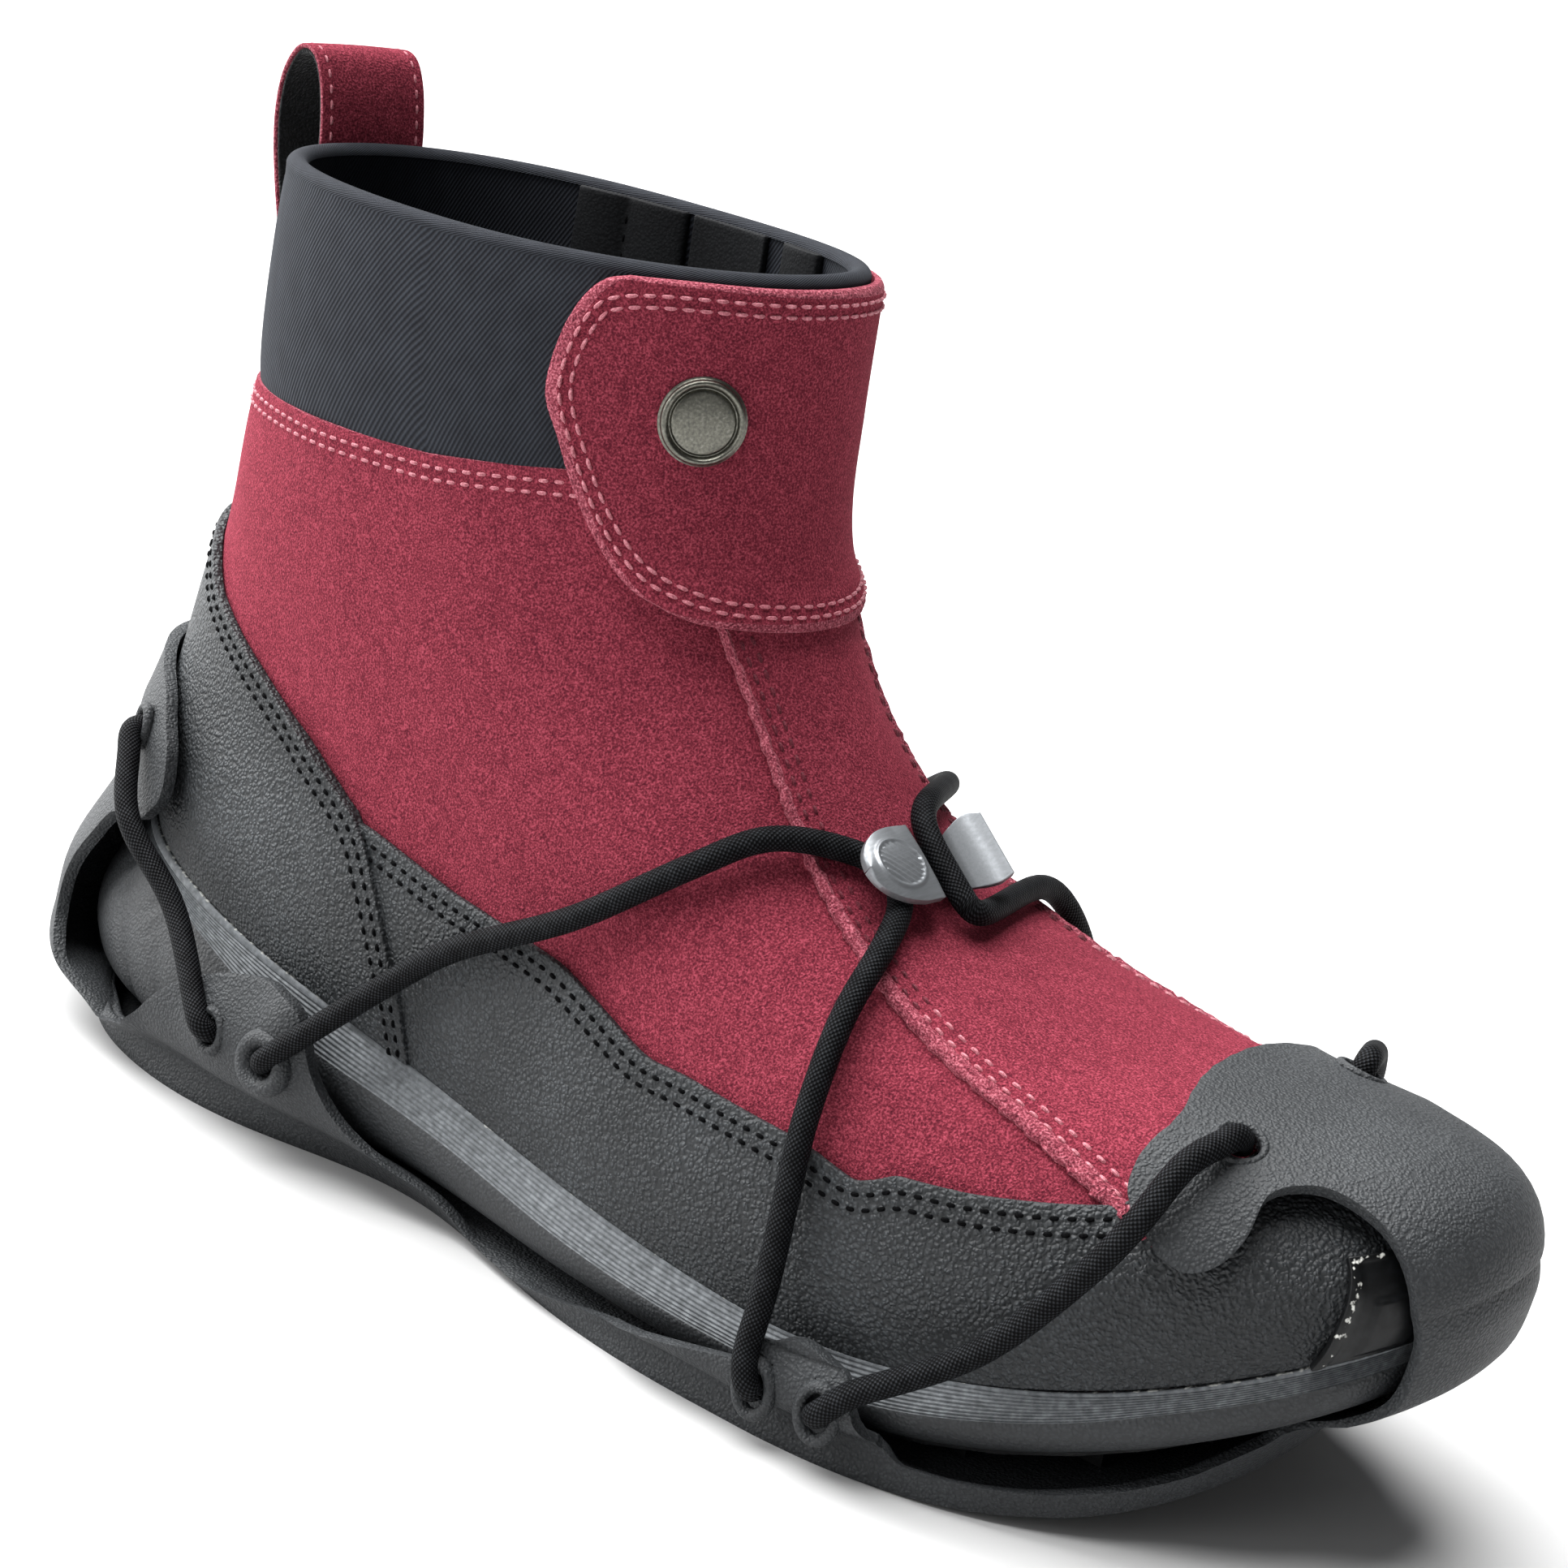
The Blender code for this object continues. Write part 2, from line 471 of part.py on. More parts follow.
def smooth_route(points, spacing):
    """Points every so often along a smooth curve through a route's own points."""
    points = np.asarray(points, float)
    fine = through(points, np.linspace(0, len(points) - 1, 40 * len(points)))
    run = np.concatenate(([0], np.cumsum(np.linalg.norm(np.diff(fine, axis=0), axis=1))))
    places = np.linspace(0, run[-1], int(run[-1] / spacing) + 2)
    return np.stack([np.interp(places, run, fine[:, k]) for k in range(3)], axis=1)


def cord_run(name, points):
    """A run of elastic cord through a route's points."""
    route = to_scene(smooth_route(points, CORD_STEP))
    curve = bpy.data.curves.new(name, "CURVE")
    curve.dimensions = "3D"
    curve.bevel_depth = CORD / 2 * MM
    curve.bevel_resolution = 2
    curve.use_fill_caps = True
    spline = curve.splines.new("POLY")
    spline.points.add(len(route) - 1)
    for point, place in zip(spline.points, route):
        point.co = (*place, 1.0)
    return add_object(name, curve, PARTS, "cord_textile")


def build_sole():
    """Midsole cup with its ribbed band, outsole with its tread blocks, and the insole."""
    foot = np.interp(mirrored(COLUMNS), RIB_FOOT[:, 0], RIB_FOOT[:, 1])
    rings = [skin(SOLE_RINGS, foot * part, COLUMNS) for part in (0.0, 0.4, 0.75)]
    for k in range(2 * RIBS + 1):
        level = foot + (RIB_TOP - foot) * k / (2 * RIBS)
        rings.append(skin(SOLE_RINGS, level, COLUMNS, -RIB_DEPTH * (k % 2)))
    rings.append(skin(SOLE_RINGS, 3.0, COLUMNS))
    drop = np.array((0.0, 0.0, GAP))
    seat = lip_ring(COLUMNS, LIP_FALL)
    rings += [last_skin(seat * part, COLUMNS, 1.5 * GAP) for part in (1.0, 0.5)]
    rings.append(feather(1.5 * GAP) - drop)
    rings.append(feather(-SEAT_INSET) - drop)
    rings[0][:, 2] += arch(rings[0][:, 0])
    loft_solid("midsole", rings, "midsole_foam")

    tread = []
    for inset, depth in PLATE_EDGE:
        ring = skin(SOLE_RINGS, 0.0, COLUMNS, -inset)
        ring[:, 2] = rings[0][:, 2] - GAP - depth
        tread.append(ring)
    outsole = loft_solid("outsole", tread, "sole_rubber")
    blocks = bmesh.new()
    for x, y, length, width in LUGS:
        low = ring_height(FLOOR_RING[0], x + length / 2) + LUG_CLEAR
        high = ring_height(SOLE_RINGS[0], x - length / 2) + arch(x) - GAP - TREAD_PLATE / 2
        place = Matrix.Translation(to_scene((x, y, (low + high) / 2))[0])
        size = Matrix.Diagonal((length * MM, width * MM, (high - low) * MM, 1.0))
        bmesh.ops.create_cube(blocks, size=1.0, matrix=place @ size)
    boolean(outsole, cutter("tread_blocks", blocks), "UNION")

    edge = feather(-UPPER_WALL - 2 * GAP)
    loft_solid("insole", [edge, edge + np.array((0.0, 0.0, INSOLE))], "insole_felt")


def lip_ring(place, below):
    """Ring of the upper that lies a distance below the midsole's lip."""
    levels = np.linspace(0.0, 2.0, 81)
    lip = ring_point(SOLE_RINGS, len(SOLE_RINGS) - 1, place)[..., 2] - below
    heights = ring_point(UPPER_RINGS, levels, place[..., None])[..., 2]
    return levels[np.argmin(np.abs(heights - lip[..., None]), axis=-1)]


def rand_foot(place):
    """Ring where the sheets on the upper begin, just over the midsole's lip."""
    return lip_ring(place, -RAND_CLEAR)


def feather(out):
    """The upper's foot moved sideways, at its own height."""
    ring = last_skin(0.0, COLUMNS, out)
    ring[:, 2] = ring_height(UPPER_RINGS[0], ring[:, 0])
    return ring


def arch(x):
    """How far the tread lifts off the floor under the arch."""
    return ARCH * np.exp(-((np.asarray(x) - ARCH_AT) / ARCH_LENGTH) ** 2)


def collar_line(place):
    """Ring where the suede ends, round the leg."""
    return COLLAR_LINE - COLLAR_TILT * np.cos(place * PI)


def shaft_levels(place):
    """Rings of the leg from the ankle through the suede's edge to the rim."""
    edge = collar_line(place)
    suede = [UPPER_LEVELS[-1] + (edge - UPPER_LEVELS[-1]) * part for part in (0.0, 0.5, 1.0)]
    return np.array(suede + [edge + (RIM - edge) * part for part in (0.4, 0.75, 0.97, 1.0)])


def build_upper():
    """The suede shell, open at the top and underneath, and the knitted collar that stands on it."""
    levels = np.array([np.full_like(COLUMNS, level) for level in UPPER_LEVELS[:-1]])
    levels = np.vstack((levels, shaft_levels(COLUMNS)[:3]))
    inside = last_skin(levels, COLUMNS, -UPPER_WALL, panel=False)
    skin_solid("upper", last_skin(levels, COLUMNS), inside, True, "suede")

    levels = np.vstack((collar_line(COLUMNS) + COLLAR_SEAM, shaft_levels(COLUMNS)[3:]))
    inside = last_skin(levels, COLUMNS, COLLAR_ROLL - COLLAR_WALL)
    skin_solid("collar", last_skin(levels, COLUMNS, -COLLAR_ROLL), inside, True, "neoprene")


def overlay(name, levels, places, stand, wall, material, wrap, panel=True):
    """A piece of sheet lying on the upper, cut from the upper's own surface."""
    outer, inner = last_skin(levels, places, stand + wall, panel), last_skin(levels, places, stand, panel)
    return skin_solid(name, outer, inner, wrap, material)


def build_overlays():
    """Rand with its toe cap, heel counter, toe bumper, ankle flap and its plain badge."""
    foot = rand_foot(COLUMNS)
    share = np.linspace(0, 1, 8)[:, None]
    rand = overlay("rand", foot + (RAND_REACH - foot) * share, COLUMNS, 2 * GAP, OVERLAY, "coated_leather",
                   True)
    outline = prism("rand_outline", COUNTER_SEAM + RAND_TOP + RAND_BELOW, -HALF_SPAN, HALF_SPAN)
    boolean(rand, outline, "INTERSECT")
    counter = overlay("heel_counter", foot + (COUNTER_REACH - foot) * share, COLUMNS, 2 * GAP, OVERLAY,
                      "coated_leather", True)
    seam = [(x - SEAM_GAP, z) for x, z in COUNTER_SEAM]
    outline = prism("counter_outline", seam + COUNTER_TOP + COUNTER_BEHIND, -HALF_SPAN, HALF_SPAN)
    boolean(counter, outline, "INTERSECT")

    share = np.linspace(0, 1, 5)[:, None]
    places = 1 + np.linspace(-1, 1, 9) * (BUMPER_HALF[0] + (BUMPER_HALF[1] - BUMPER_HALF[0]) * share)
    foot = rand_foot(places)
    overlay("toe_bumper", foot + (BUMPER_TOP - foot) * share, places, OVERLAY + 4 * GAP, BUMPER_WALL,
            "sole_rubber", False)

    wide = np.append(COLUMNS[(COLUMNS >= FLAP_FROM) & (COLUMNS < FLAP_END)], FLAP_END)
    flap = overlay("ankle_flap", shaft_levels(wide)[:-1], wide, 2 * GAP, FLAP_WALL, "suede", False, False)
    boolean(flap, prism("flap_outline", FLAP_EDGE + FLAP_AWAY, -HALF_SPAN, 0.0), "DIFFERENCE")

    level, turn = BADGE_AT
    normal = normal_at(UPPER_RINGS, np.array(level), np.array(turn))
    place = skin(UPPER_RINGS, level, turn, 3 * GAP + FLAP_WALL + BADGE_SHEET / 2)
    disc = bmesh.new()
    bmesh.ops.create_cone(disc, cap_ends=True, segments=16, radius1=BADGE / 2 * MM, radius2=BADGE / 2 * MM,
                          depth=BADGE_SHEET * MM)
    mesh = bpy.data.meshes.new("flap_badge")
    disc.to_mesh(mesh)
    disc.free()
    badge = add_object("flap_badge", mesh, PARTS, "satin_metal")
    badge.matrix_world = Matrix.Translation(Vector(to_scene(place)[0])) @ axes_at(normal, (0, 0, 1)).to_4x4()


def build_loop():
    """The pull loop at the back of the collar."""
    away = np.array((-math.cos(LOOP_TURN), math.sin(LOOP_TURN), 0.0))
    side = np.array((math.sin(LOOP_TURN), math.cos(LOOP_TURN), 0.0))
    path = np.array([(*LOOP_AT, z) for _, z in LOOP]) + np.array([u for u, _ in LOOP])[:, None] * away
    across = np.array((-0.5, 0.0, 0.5))[:, None] * LOOP_WIDTH * side
    strip_solid("pull_loop", path[:, None] + across[None, :], LOOP_WALL, "suede")


def zip_strip(name, width, stand, wall, material):
    """A strip along the zip on the inner side."""
    levels = np.linspace(ZIP[0, 0], ZIP[-1, 0], ZIP_ROWS)[::-1]
    middle = np.interp(levels, ZIP[::-1, 0], ZIP[::-1, 1])
    per_turn = np.linalg.norm(ring_point(UPPER_RINGS, levels, middle + 0.01)
                              - ring_point(UPPER_RINGS, levels, middle - 0.01), axis=-1) / 0.02
    places = middle[:, None] + np.array((-0.5, 0.0, 0.5)) * width / per_turn[:, None]
    outer = skin(UPPER_RINGS, levels[:, None], places, stand + wall)
    skin_solid(name, outer, skin(UPPER_RINGS, levels[:, None], places, stand), False, material)


def build_zip():
    """Side zip: tape, closed teeth, slider, and the pull that swings on the slider."""
    zip_strip("zip_tape", ZIP_TAPE, 1.5 * GAP, ZIP_SHEET, "zip_nylon")
    teeth = 2.5 * GAP + ZIP_SHEET
    zip_strip("zip_teeth", ZIP_TEETH, teeth, ZIP_COIL, "zip_nylon")
    turn = np.interp(SLIDER_AT, ZIP[::-1, 0], ZIP[::-1, 1])
    normal = normal_at(UPPER_RINGS, np.array(SLIDER_AT), np.array(turn))
    down = ring_point(UPPER_RINGS, SLIDER_AT - 0.2, turn) - ring_point(UPPER_RINGS, SLIDER_AT, turn)
    turned = axes_at(normal, down)
    base = teeth + ZIP_COIL + GAP
    place = skin(UPPER_RINGS, SLIDER_AT, turn, base + SLIDER[2] / 2)
    block("zip_slider", SLIDER, place, turned, (0, 0, 0), "satin_metal")
    lift = SLIDER[2] + GAP + PULL[2] / 2
    hinge = skin(UPPER_RINGS, SLIDER_AT, turn, base + lift) + np.array(turned.col[0]) * HINGE_DOWN
    block("zip_pull", PULL, hinge, turned, (PULL[0] / 2 - PULL_STAND, 0, 0), "satin_metal")


def cover_lift(level, turn):
    """How far the cover stands off the boot at a ring and place."""
    side = float(mirrored(np.array(turn)))
    edge = np.interp(side, COVER_EDGE[:, 0], COVER_EDGE[:, 1])
    if level <= edge:
        return GAP + np.interp(side, COVER_EDGE[:, 0], COVER_EDGE[:, 2]) * level / edge
    return np.interp(level, HEEL_BAND[:, 0], HEEL_BAND[:, 2]) if side < 0.5 else ARM_LIFT


def cover_skin(level, turn, out):
    """Points that stand a distance off the boot, never downwards, and their normals."""
    level, turn = np.broadcast_arrays(np.asarray(level, float), np.asarray(turn, float))
    normal = normal_at(HULL_RINGS, level, turn)
    normal[..., 2] = np.maximum(normal[..., 2], 0.0)
    normal = normal / np.linalg.norm(normal, axis=-1, keepdims=True)
    return ring_point(HULL_RINGS, level, turn) + normal * np.asarray(out, float)[..., None], normal


def next_numbers(grids, shape):
    """Vertex numbers of a grid that follows the ones so far."""
    return np.arange(shape[0] * shape[1]).reshape(shape) + sum(grid[0].size for grid in grids)


def eyelet(spot, inner):
    """Middle and normal of an eyelet in the cover's wall, on the outer or inner side."""
    level, turn = spot[0], (2 - spot[1] if inner else spot[1])
    return cover_skin(level, turn, cover_lift(level, turn) + RUBBER / 2)


def build_cover():
    """The moulded rubber cover: tray, wings, heel strap and toe strap, with its eyelets cut."""
    places = both_sides(COVER_EDGE[:, 0])
    side = mirrored(places)
    edge = np.interp(side, COVER_EDGE[:, 0], COVER_EDGE[:, 1])
    lift = np.interp(side, COVER_EDGE[:, 0], COVER_EDGE[:, 2])
    share = np.linspace(0, 1, COVER_ROWS + 1)[:, None]
    grids = [(edge * share, places + 0 * share, GAP + lift * share)]
    numbers = np.arange(grids[0][0].size).reshape(grids[0][0].shape)
    faces = grid_faces(numbers, True) + [face[::-1] for face in cap_faces(numbers[0])]

    signed = np.where(places > 1, places - 2, places)
    behind = np.flatnonzero(side <= HEEL_HALF)
    behind = behind[np.argsort(signed[behind])]
    ahead = np.flatnonzero(side >= 1 - TOE_HALF)
    straps = ((HEEL_BAND, behind, signed[behind] / HEEL_HALF, 0.0),
              (TOE_BAND, ahead, (places[ahead] - 1) / TOE_HALF, 1.0))
    for band, columns, reach, middle in straps:
        rows = next_numbers(grids, (len(band), len(columns)))
        grids.append((band[:, :1] + 0 * reach, middle + band[:, 1:2] * reach, band[:, 2:3] + 0 * reach))
        faces += grid_faces(np.vstack((numbers[-1, columns], rows)), False)

    turn = np.concatenate((TOE_ARMS[:, 0], 2 - TOE_ARMS[-2::-1, 0]))
    low = np.interp(mirrored(turn), TOE_ARMS[:, 0], TOE_ARMS[:, 1])
    high = np.interp(mirrored(turn), TOE_ARMS[:, 0], TOE_ARMS[:, 2])
    share = np.linspace(0, 1, ARM_ROWS + 1)[:, None]
    arms = next_numbers(grids, (ARM_ROWS + 1, len(turn)))
    grids.append((low + (high - low) * share, turn + 0 * share, ARM_LIFT + 0 * turn + 0 * share))
    arms[0, np.flatnonzero(mirrored(turn) >= 1 - TOE_HALF)] = rows[-1]
    faces += grid_faces(arms, False)

    level, turn, lift = (np.concatenate([grid[k].ravel() for grid in grids]) for k in range(3))
    outer, inner = cover_skin(level, turn, lift + RUBBER)[0], cover_skin(level, turn, lift)[0]
    outer[:, 2] = np.where(level == 0, ring_height(FLOOR_RING[0], outer[:, 0]), outer[:, 2])
    floor = ring_height(FLOOR_RING[0], inner[:, 0]) + RUBBER
    inner[:, 2] = np.maximum(inner[:, 2], floor)
    used = np.unique(np.concatenate([np.array(face) for face in faces]))
    renumber = np.zeros(len(level), int)
    renumber[used] = np.arange(len(used))
    faces = [[int(renumber[k]) for k in face] for face in faces]
    cover = sheet("overshoe_cover", outer[used], inner[used], faces, "cover_rubber")

    holes = bmesh.new()
    for spot in (*REAR_EYELETS, *FRONT_EYELETS, HEEL_EYELET, TOE_EYELET):
        for inner in (False, True):
            middle, normal = eyelet(spot, inner)
            place = Matrix.Translation(to_scene(middle)[0]) @ axes_at(normal, (0, 0, 1)).to_4x4()
            stretch = Matrix.Diagonal((HEEL_SLOT if spot is HEEL_EYELET else 1.0, 1.0, 1.0, 1.0))
            bmesh.ops.create_cone(holes, cap_ends=True, segments=10, radius1=EYELET / 2 * MM,
                                  radius2=EYELET / 2 * MM, depth=4 * RUBBER * MM, matrix=place @ stretch)
    boolean(cover, cutter("eyelet_holes", holes), "DIFFERENCE")


def from_eyelet(spot, inner, towards):
    """The first points of a run: inside the eyelet, straight out of it, and a little way on."""
    middle, normal = eyelet(spot, inner)
    out = middle + normal * EYELET_STAND
    on = towards - out
    return [middle, middle + normal * RUBBER, out, out + on * EYELET_TURN / np.linalg.norm(on)]


def over_last(run, inner):
    """Points of a run over the last."""
    return [skin(UPPER_RINGS, level, 2 - turn if inner else turn, height + more * inner)
            for level, turn, height, more in run]


def build_cords():
    """Elastic cord: on each side a run to the hook and back, one to the toe and one to the heel strap."""
    turned, base = hook_frame()
    saddle = [base + np.array(turned @ Vector(spot)) for spot in SADDLE]
    for label, inner in (("outer", False), ("inner", True)):
        middle = saddle[::-1] if inner else over_last(UNDER_PLATE, False)
        instep = over_last(REAR_RUN, inner) + middle + over_last(FRONT_RUN, inner)
        runs = (("instep", REAR_EYELETS[1], instep, FRONT_EYELETS[0]),
                ("toe", TOE_EYELET, over_last(TOE_RUN, inner), FRONT_EYELETS[1]),
                ("heel", HEEL_EYELET, over_last(HEEL_RUN, inner), REAR_EYELETS[0]))
        for place, start, run, end in runs:
            leave, arrive = from_eyelet(start, inner, run[0]), from_eyelet(end, inner, run[-1])
            cord_run(f"cord_{label}_{place}", leave + run + arrive[::-1])


def hook_frame():
    """Axes of the hook, X across the instep to the inner side, and the vamp's surface under its saddle."""
    level, turn = HOOK_AT
    normal = normal_at(UPPER_RINGS, np.array(level), np.array(turn))
    ahead = ring_point(UPPER_RINGS, level, turn + 0.05) - ring_point(UPPER_RINGS, level, turn - 0.05)
    return axes_at(normal, ahead), skin(UPPER_RINGS, level, turn, VAMP_STEP)


def build_hook():
    """The metal hook that the inner cord is hung in and the outer cord holds."""
    turned, base = hook_frame()
    along, across, up = (np.array(turned.col[k]) for k in range(3))
    spine = base + HOOK[:, :1] * along + HOOK[:, 1:2] * up
    points = spine[:, None] + np.linspace(-0.5, 0.5, 5)[None, :, None] * HOOK[:, None, 2:3] * across
    strip_solid("cord_hook", points[:, ::-1], HOOK_SHEET, "satin_metal")


for old in list(bpy.data.objects):
    bpy.data.objects.remove(old, do_unlink=True)
PARTS = new_collection("ankle_boot_with_overshoe")
CUTTERS = new_collection("cutters")
ROOT = bpy.data.objects.new("boot", None)
PARTS.objects.link(ROOT)
build_sole()
build_upper()
build_overlays()
build_loop()
build_zip()
build_cover()
build_hook()
build_cords()
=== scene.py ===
"""Looks of a right ankle boot that wears a strap-on rubber overshoe.

Every piece is a surface over the last, the same rings that the CAD part is lofted from, and rides on a
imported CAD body. Lengths are millimetres up to to_frame(), which gives the CAD frame in metres. A place on
the last is a ring number and a number of half turns: 0 back, 0.5 outer side, 1 front, 1.5 inner side.
"""
from __future__ import annotations

import json
import logging
import math
from dataclasses import dataclass, field
from enum import Enum
from functools import partial
from typing import Callable, Optional, Sequence

import bpy
import numpy as np
from mathutils import Matrix

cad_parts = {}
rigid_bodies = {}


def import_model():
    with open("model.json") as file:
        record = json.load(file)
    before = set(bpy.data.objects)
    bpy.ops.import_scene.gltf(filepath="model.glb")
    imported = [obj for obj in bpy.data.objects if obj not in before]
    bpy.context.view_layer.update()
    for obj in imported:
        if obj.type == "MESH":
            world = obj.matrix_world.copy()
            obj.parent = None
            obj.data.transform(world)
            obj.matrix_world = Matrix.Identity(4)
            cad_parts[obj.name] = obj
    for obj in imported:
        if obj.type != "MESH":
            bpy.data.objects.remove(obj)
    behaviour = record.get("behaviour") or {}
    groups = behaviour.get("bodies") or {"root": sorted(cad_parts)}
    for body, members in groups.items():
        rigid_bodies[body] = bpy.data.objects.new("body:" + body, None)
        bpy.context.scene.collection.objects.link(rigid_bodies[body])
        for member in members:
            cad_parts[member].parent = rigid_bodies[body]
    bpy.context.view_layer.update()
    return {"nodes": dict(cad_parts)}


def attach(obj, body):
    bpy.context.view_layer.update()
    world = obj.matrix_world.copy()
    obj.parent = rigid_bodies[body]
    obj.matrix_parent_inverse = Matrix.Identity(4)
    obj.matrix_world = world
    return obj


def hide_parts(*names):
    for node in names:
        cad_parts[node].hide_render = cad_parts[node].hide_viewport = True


LOG = logging.getLogger("overshoe")
Array = np.ndarray
Tree, Socket = bpy.types.NodeTree, bpy.types.NodeSocket
MM = 0.001
PI = math.pi
HEEL_SEAT = 45.0      # heel end of the last to the middle of the heel tread
GAP = 0.3             # clearance between CAD pieces that touch
WELD_MM = 0.005       # points of a grid that are closer than this are one
UV_MM = 0.01          # UV maps hold millimetres times this
LEG_TURN = 128.0      # millimetres of a half turn round the leg or the heel, near enough
EDGE_UNITS = (16.0, 130.0)      # millimetres of a ring and of a half turn, near enough to space an edge
UPWARDS = (0.0, 0.0, 1.0)
RAW_SHARE = 0.95      # part of a border's width that has the raw edge's finish

# The columns of the plan rings of last and sole, which go from the bottom up
RING = ("x_back", "z_back", "x_front", "z_front", "x_wide", "z_mid", "outer", "inner",
        "n_back", "n_front", "waist_outer", "waist_inner", "toe_rise")
UPPER_RINGS = np.array([
    (-9.0, 43.0, 274.0, 40.0, 178.0, 17.0, 46.0, 45.0, 2.70, 2.35, 4.2, 7.8, 2.0),
    (-12.0, 55.0, 278.0, 52.0, 176.0, 31.0, 47.5, 46.5, 2.60, 2.35, 4.2, 7.8, 2.0),
    (-12.0, 67.5, 273.0, 60.5, 168.0, 47.5, 46.0, 44.5, 2.50, 2.30, 3.5, 6.5, 2.0),
    (-11.0, 79.0, 250.0, 66.0, 150.0, 60.0, 43.0, 42.0, 2.35, 2.20, 2.1, 3.9, 2.0),
    (-9.0, 91.0, 212.5, 70.0, 125.0, 73.0, 40.5, 39.0, 2.25, 2.10, 0.7, 1.3, 2.0),
    (-6.0, 104.0, 175.5, 81.0, 102.0, 89.5, 39.0, 37.0, 2.20, 2.00, 0.0, 0.0, 2.0),
    (-3.0, 120.0, 147.5, 103.5, 84.0, 109.0, 38.5, 36.5, 2.20, 2.00, 0.0, 0.0, 2.0),
    (1.0, 139.0, 131.5, 131.0, 73.0, 133.0, 38.5, 37.0, 2.20, 2.05, 0.0, 0.0, 2.0),
    (4.0, 160.0, 127.0, 159.0, 68.0, 158.0, 39.0, 38.0, 2.25, 2.10, 0.0, 0.0, 2.0),
    (5.0, 183.0, 126.5, 185.0, 66.0, 183.0, 40.0, 39.5, 2.25, 2.10, 0.0, 0.0, 2.0)])
SOLE_RINGS = np.array([
    (-12.0, 8.0, 262.0, 25.0, 180.0, 6.0, 48.0, 47.0, 3.10, 2.30, 7.7, 14.3, 2.0),
    (-20.0, 14.0, 272.0, 31.0, 180.0, 9.0, 50.5, 49.0, 3.20, 2.35, 6.3, 11.7, 2.0),
    (-22.0, 26.0, 279.0, 38.0, 179.0, 13.0, 50.5, 49.0, 3.10, 2.35, 4.9, 9.1, 2.0),
    (-12.0, 45.0, 280.0, 48.0, 178.0, 18.0, 48.0, 47.0, 2.75, 2.35, 4.2, 7.8, 2.0)])
FLOOR_RING = np.array([(-15.0, 0.0, 256.0, 14.0, 182.0, 0.0, 51.0, 48.0, 3.2, 2.30, 15.0, 17.0, 4.0)])
SWING, SWING_FROM, SWING_LENGTH = 9.0, 150.0, 120.0    # the toe turns to the inner side
WAIST_AT, WAIST_LENGTH = 88.0, 42.0                    # the narrow of the foot
BACK_RISE = 1.25
RIM = 9.0                      # ring at the collar's top
RING_STEP, TURN_STEP, NEWTON_STEPS = 0.01, 0.001, 4    # of differences along the rings and round them
COLLAR_LINE = (7.34, 0.36)     # ring where the suede ends, in the mean and how much it varies

# How a finish becomes a material
TONES = (0.36, 0.64)           # tones that have the dark and the light colour
GLOSS_TONES, GLOSS_SWING = (0.3, 0.7), 0.07
SHEEN_ROUGHNESS = 0.45
CLOUD_MM, CLOUD_SHARE = 30.0, 0.25
# Pale specks: scuffs, and on the bumper's raised border painted glints as well
SPECK_MM, SPECK_EDGE, WEAR_AND_GLINT_GAIN = 1.3, (0.86, 0.97), 0.42
WAVE_UNIT = 0.628              # scale of a wave texture that repeats once in a unit, on the diagonal
BEVEL_ANGLE, SHARP_ANGLE = math.radians(50), math.radians(40)


def linear(code: str) -> tuple[float, float, float, float]:
    """An sRGB hex colour as linear red, green, blue and alpha.

    Args:
        code: six hex digits after a hash.
    Returns:
        The linear colour, with alpha 1.
    """
    parts = [int(code[k:k + 2], 16) / 255 for k in (1, 3, 5)]
    low = [c / 12.92 if c <= 0.04045 else ((c + 0.055) / 1.055) ** 2.4 for c in parts]
    return (low[0], low[1], low[2], 1.0)


def add(tree: Tree, kind: str, settings: dict, sockets: dict) -> bpy.types.Node:
    """Adds a shader node.

    Args:
        tree: the material's nodes.
        kind: the node's type.
        settings: its own properties.
        sockets: values of its inputs, or the outputs that are linked to them.
    Returns:
        The node.
    """
    node = tree.nodes.new(kind)
    for key, value in settings.items():
        setattr(node, key, value)
    fill(tree, node, sockets)
    return node


def fill(tree: Tree, node: bpy.types.Node, sockets: dict) -> None:
    """Gives a node's inputs their values, or links them to outputs.

    Args:
        tree: the node's tree.
        node: the node.
        sockets: values or outputs by the inputs' names.
    """
    for key, value in sockets.items():
        if isinstance(value, Socket):
            tree.links.new(value, node.inputs[key])
        else:
            node.inputs[key].default_value = value


def noise(tree: Tree, place: Socket, scale: float, detail: float,
          distortion: float = 0.0) -> bpy.types.NodeOutputs:
    """Outputs of a noise texture."""
    return add(tree, "ShaderNodeTexNoise", {}, {
        "Vector": place, "Scale": scale, "Detail": detail, "Distortion": distortion}).outputs


def mixed(tree: Tree, share: float, first: Socket | float, second: Socket) -> Socket:
    """Two values blended by a share of the second."""
    return add(tree, "ShaderNodeMix", {}, {0: share, 2: first, 3: second}).outputs[0]


class Pattern(Enum):
    """How a surface was made, which sets its grain."""

    NAP = "brushed fibres of split leather"
    KNIT = "fine ribs of a knit, stronger one way than the other"
    PEBBLE = "pressed grain of coated leather"
    MOULDED = "fine matt grain of a moulding tool"
    BRAID = "crossing strands of a braided sleeve"
    BRUSHED = "long fine scratches"
    FELT = "matted fibres"


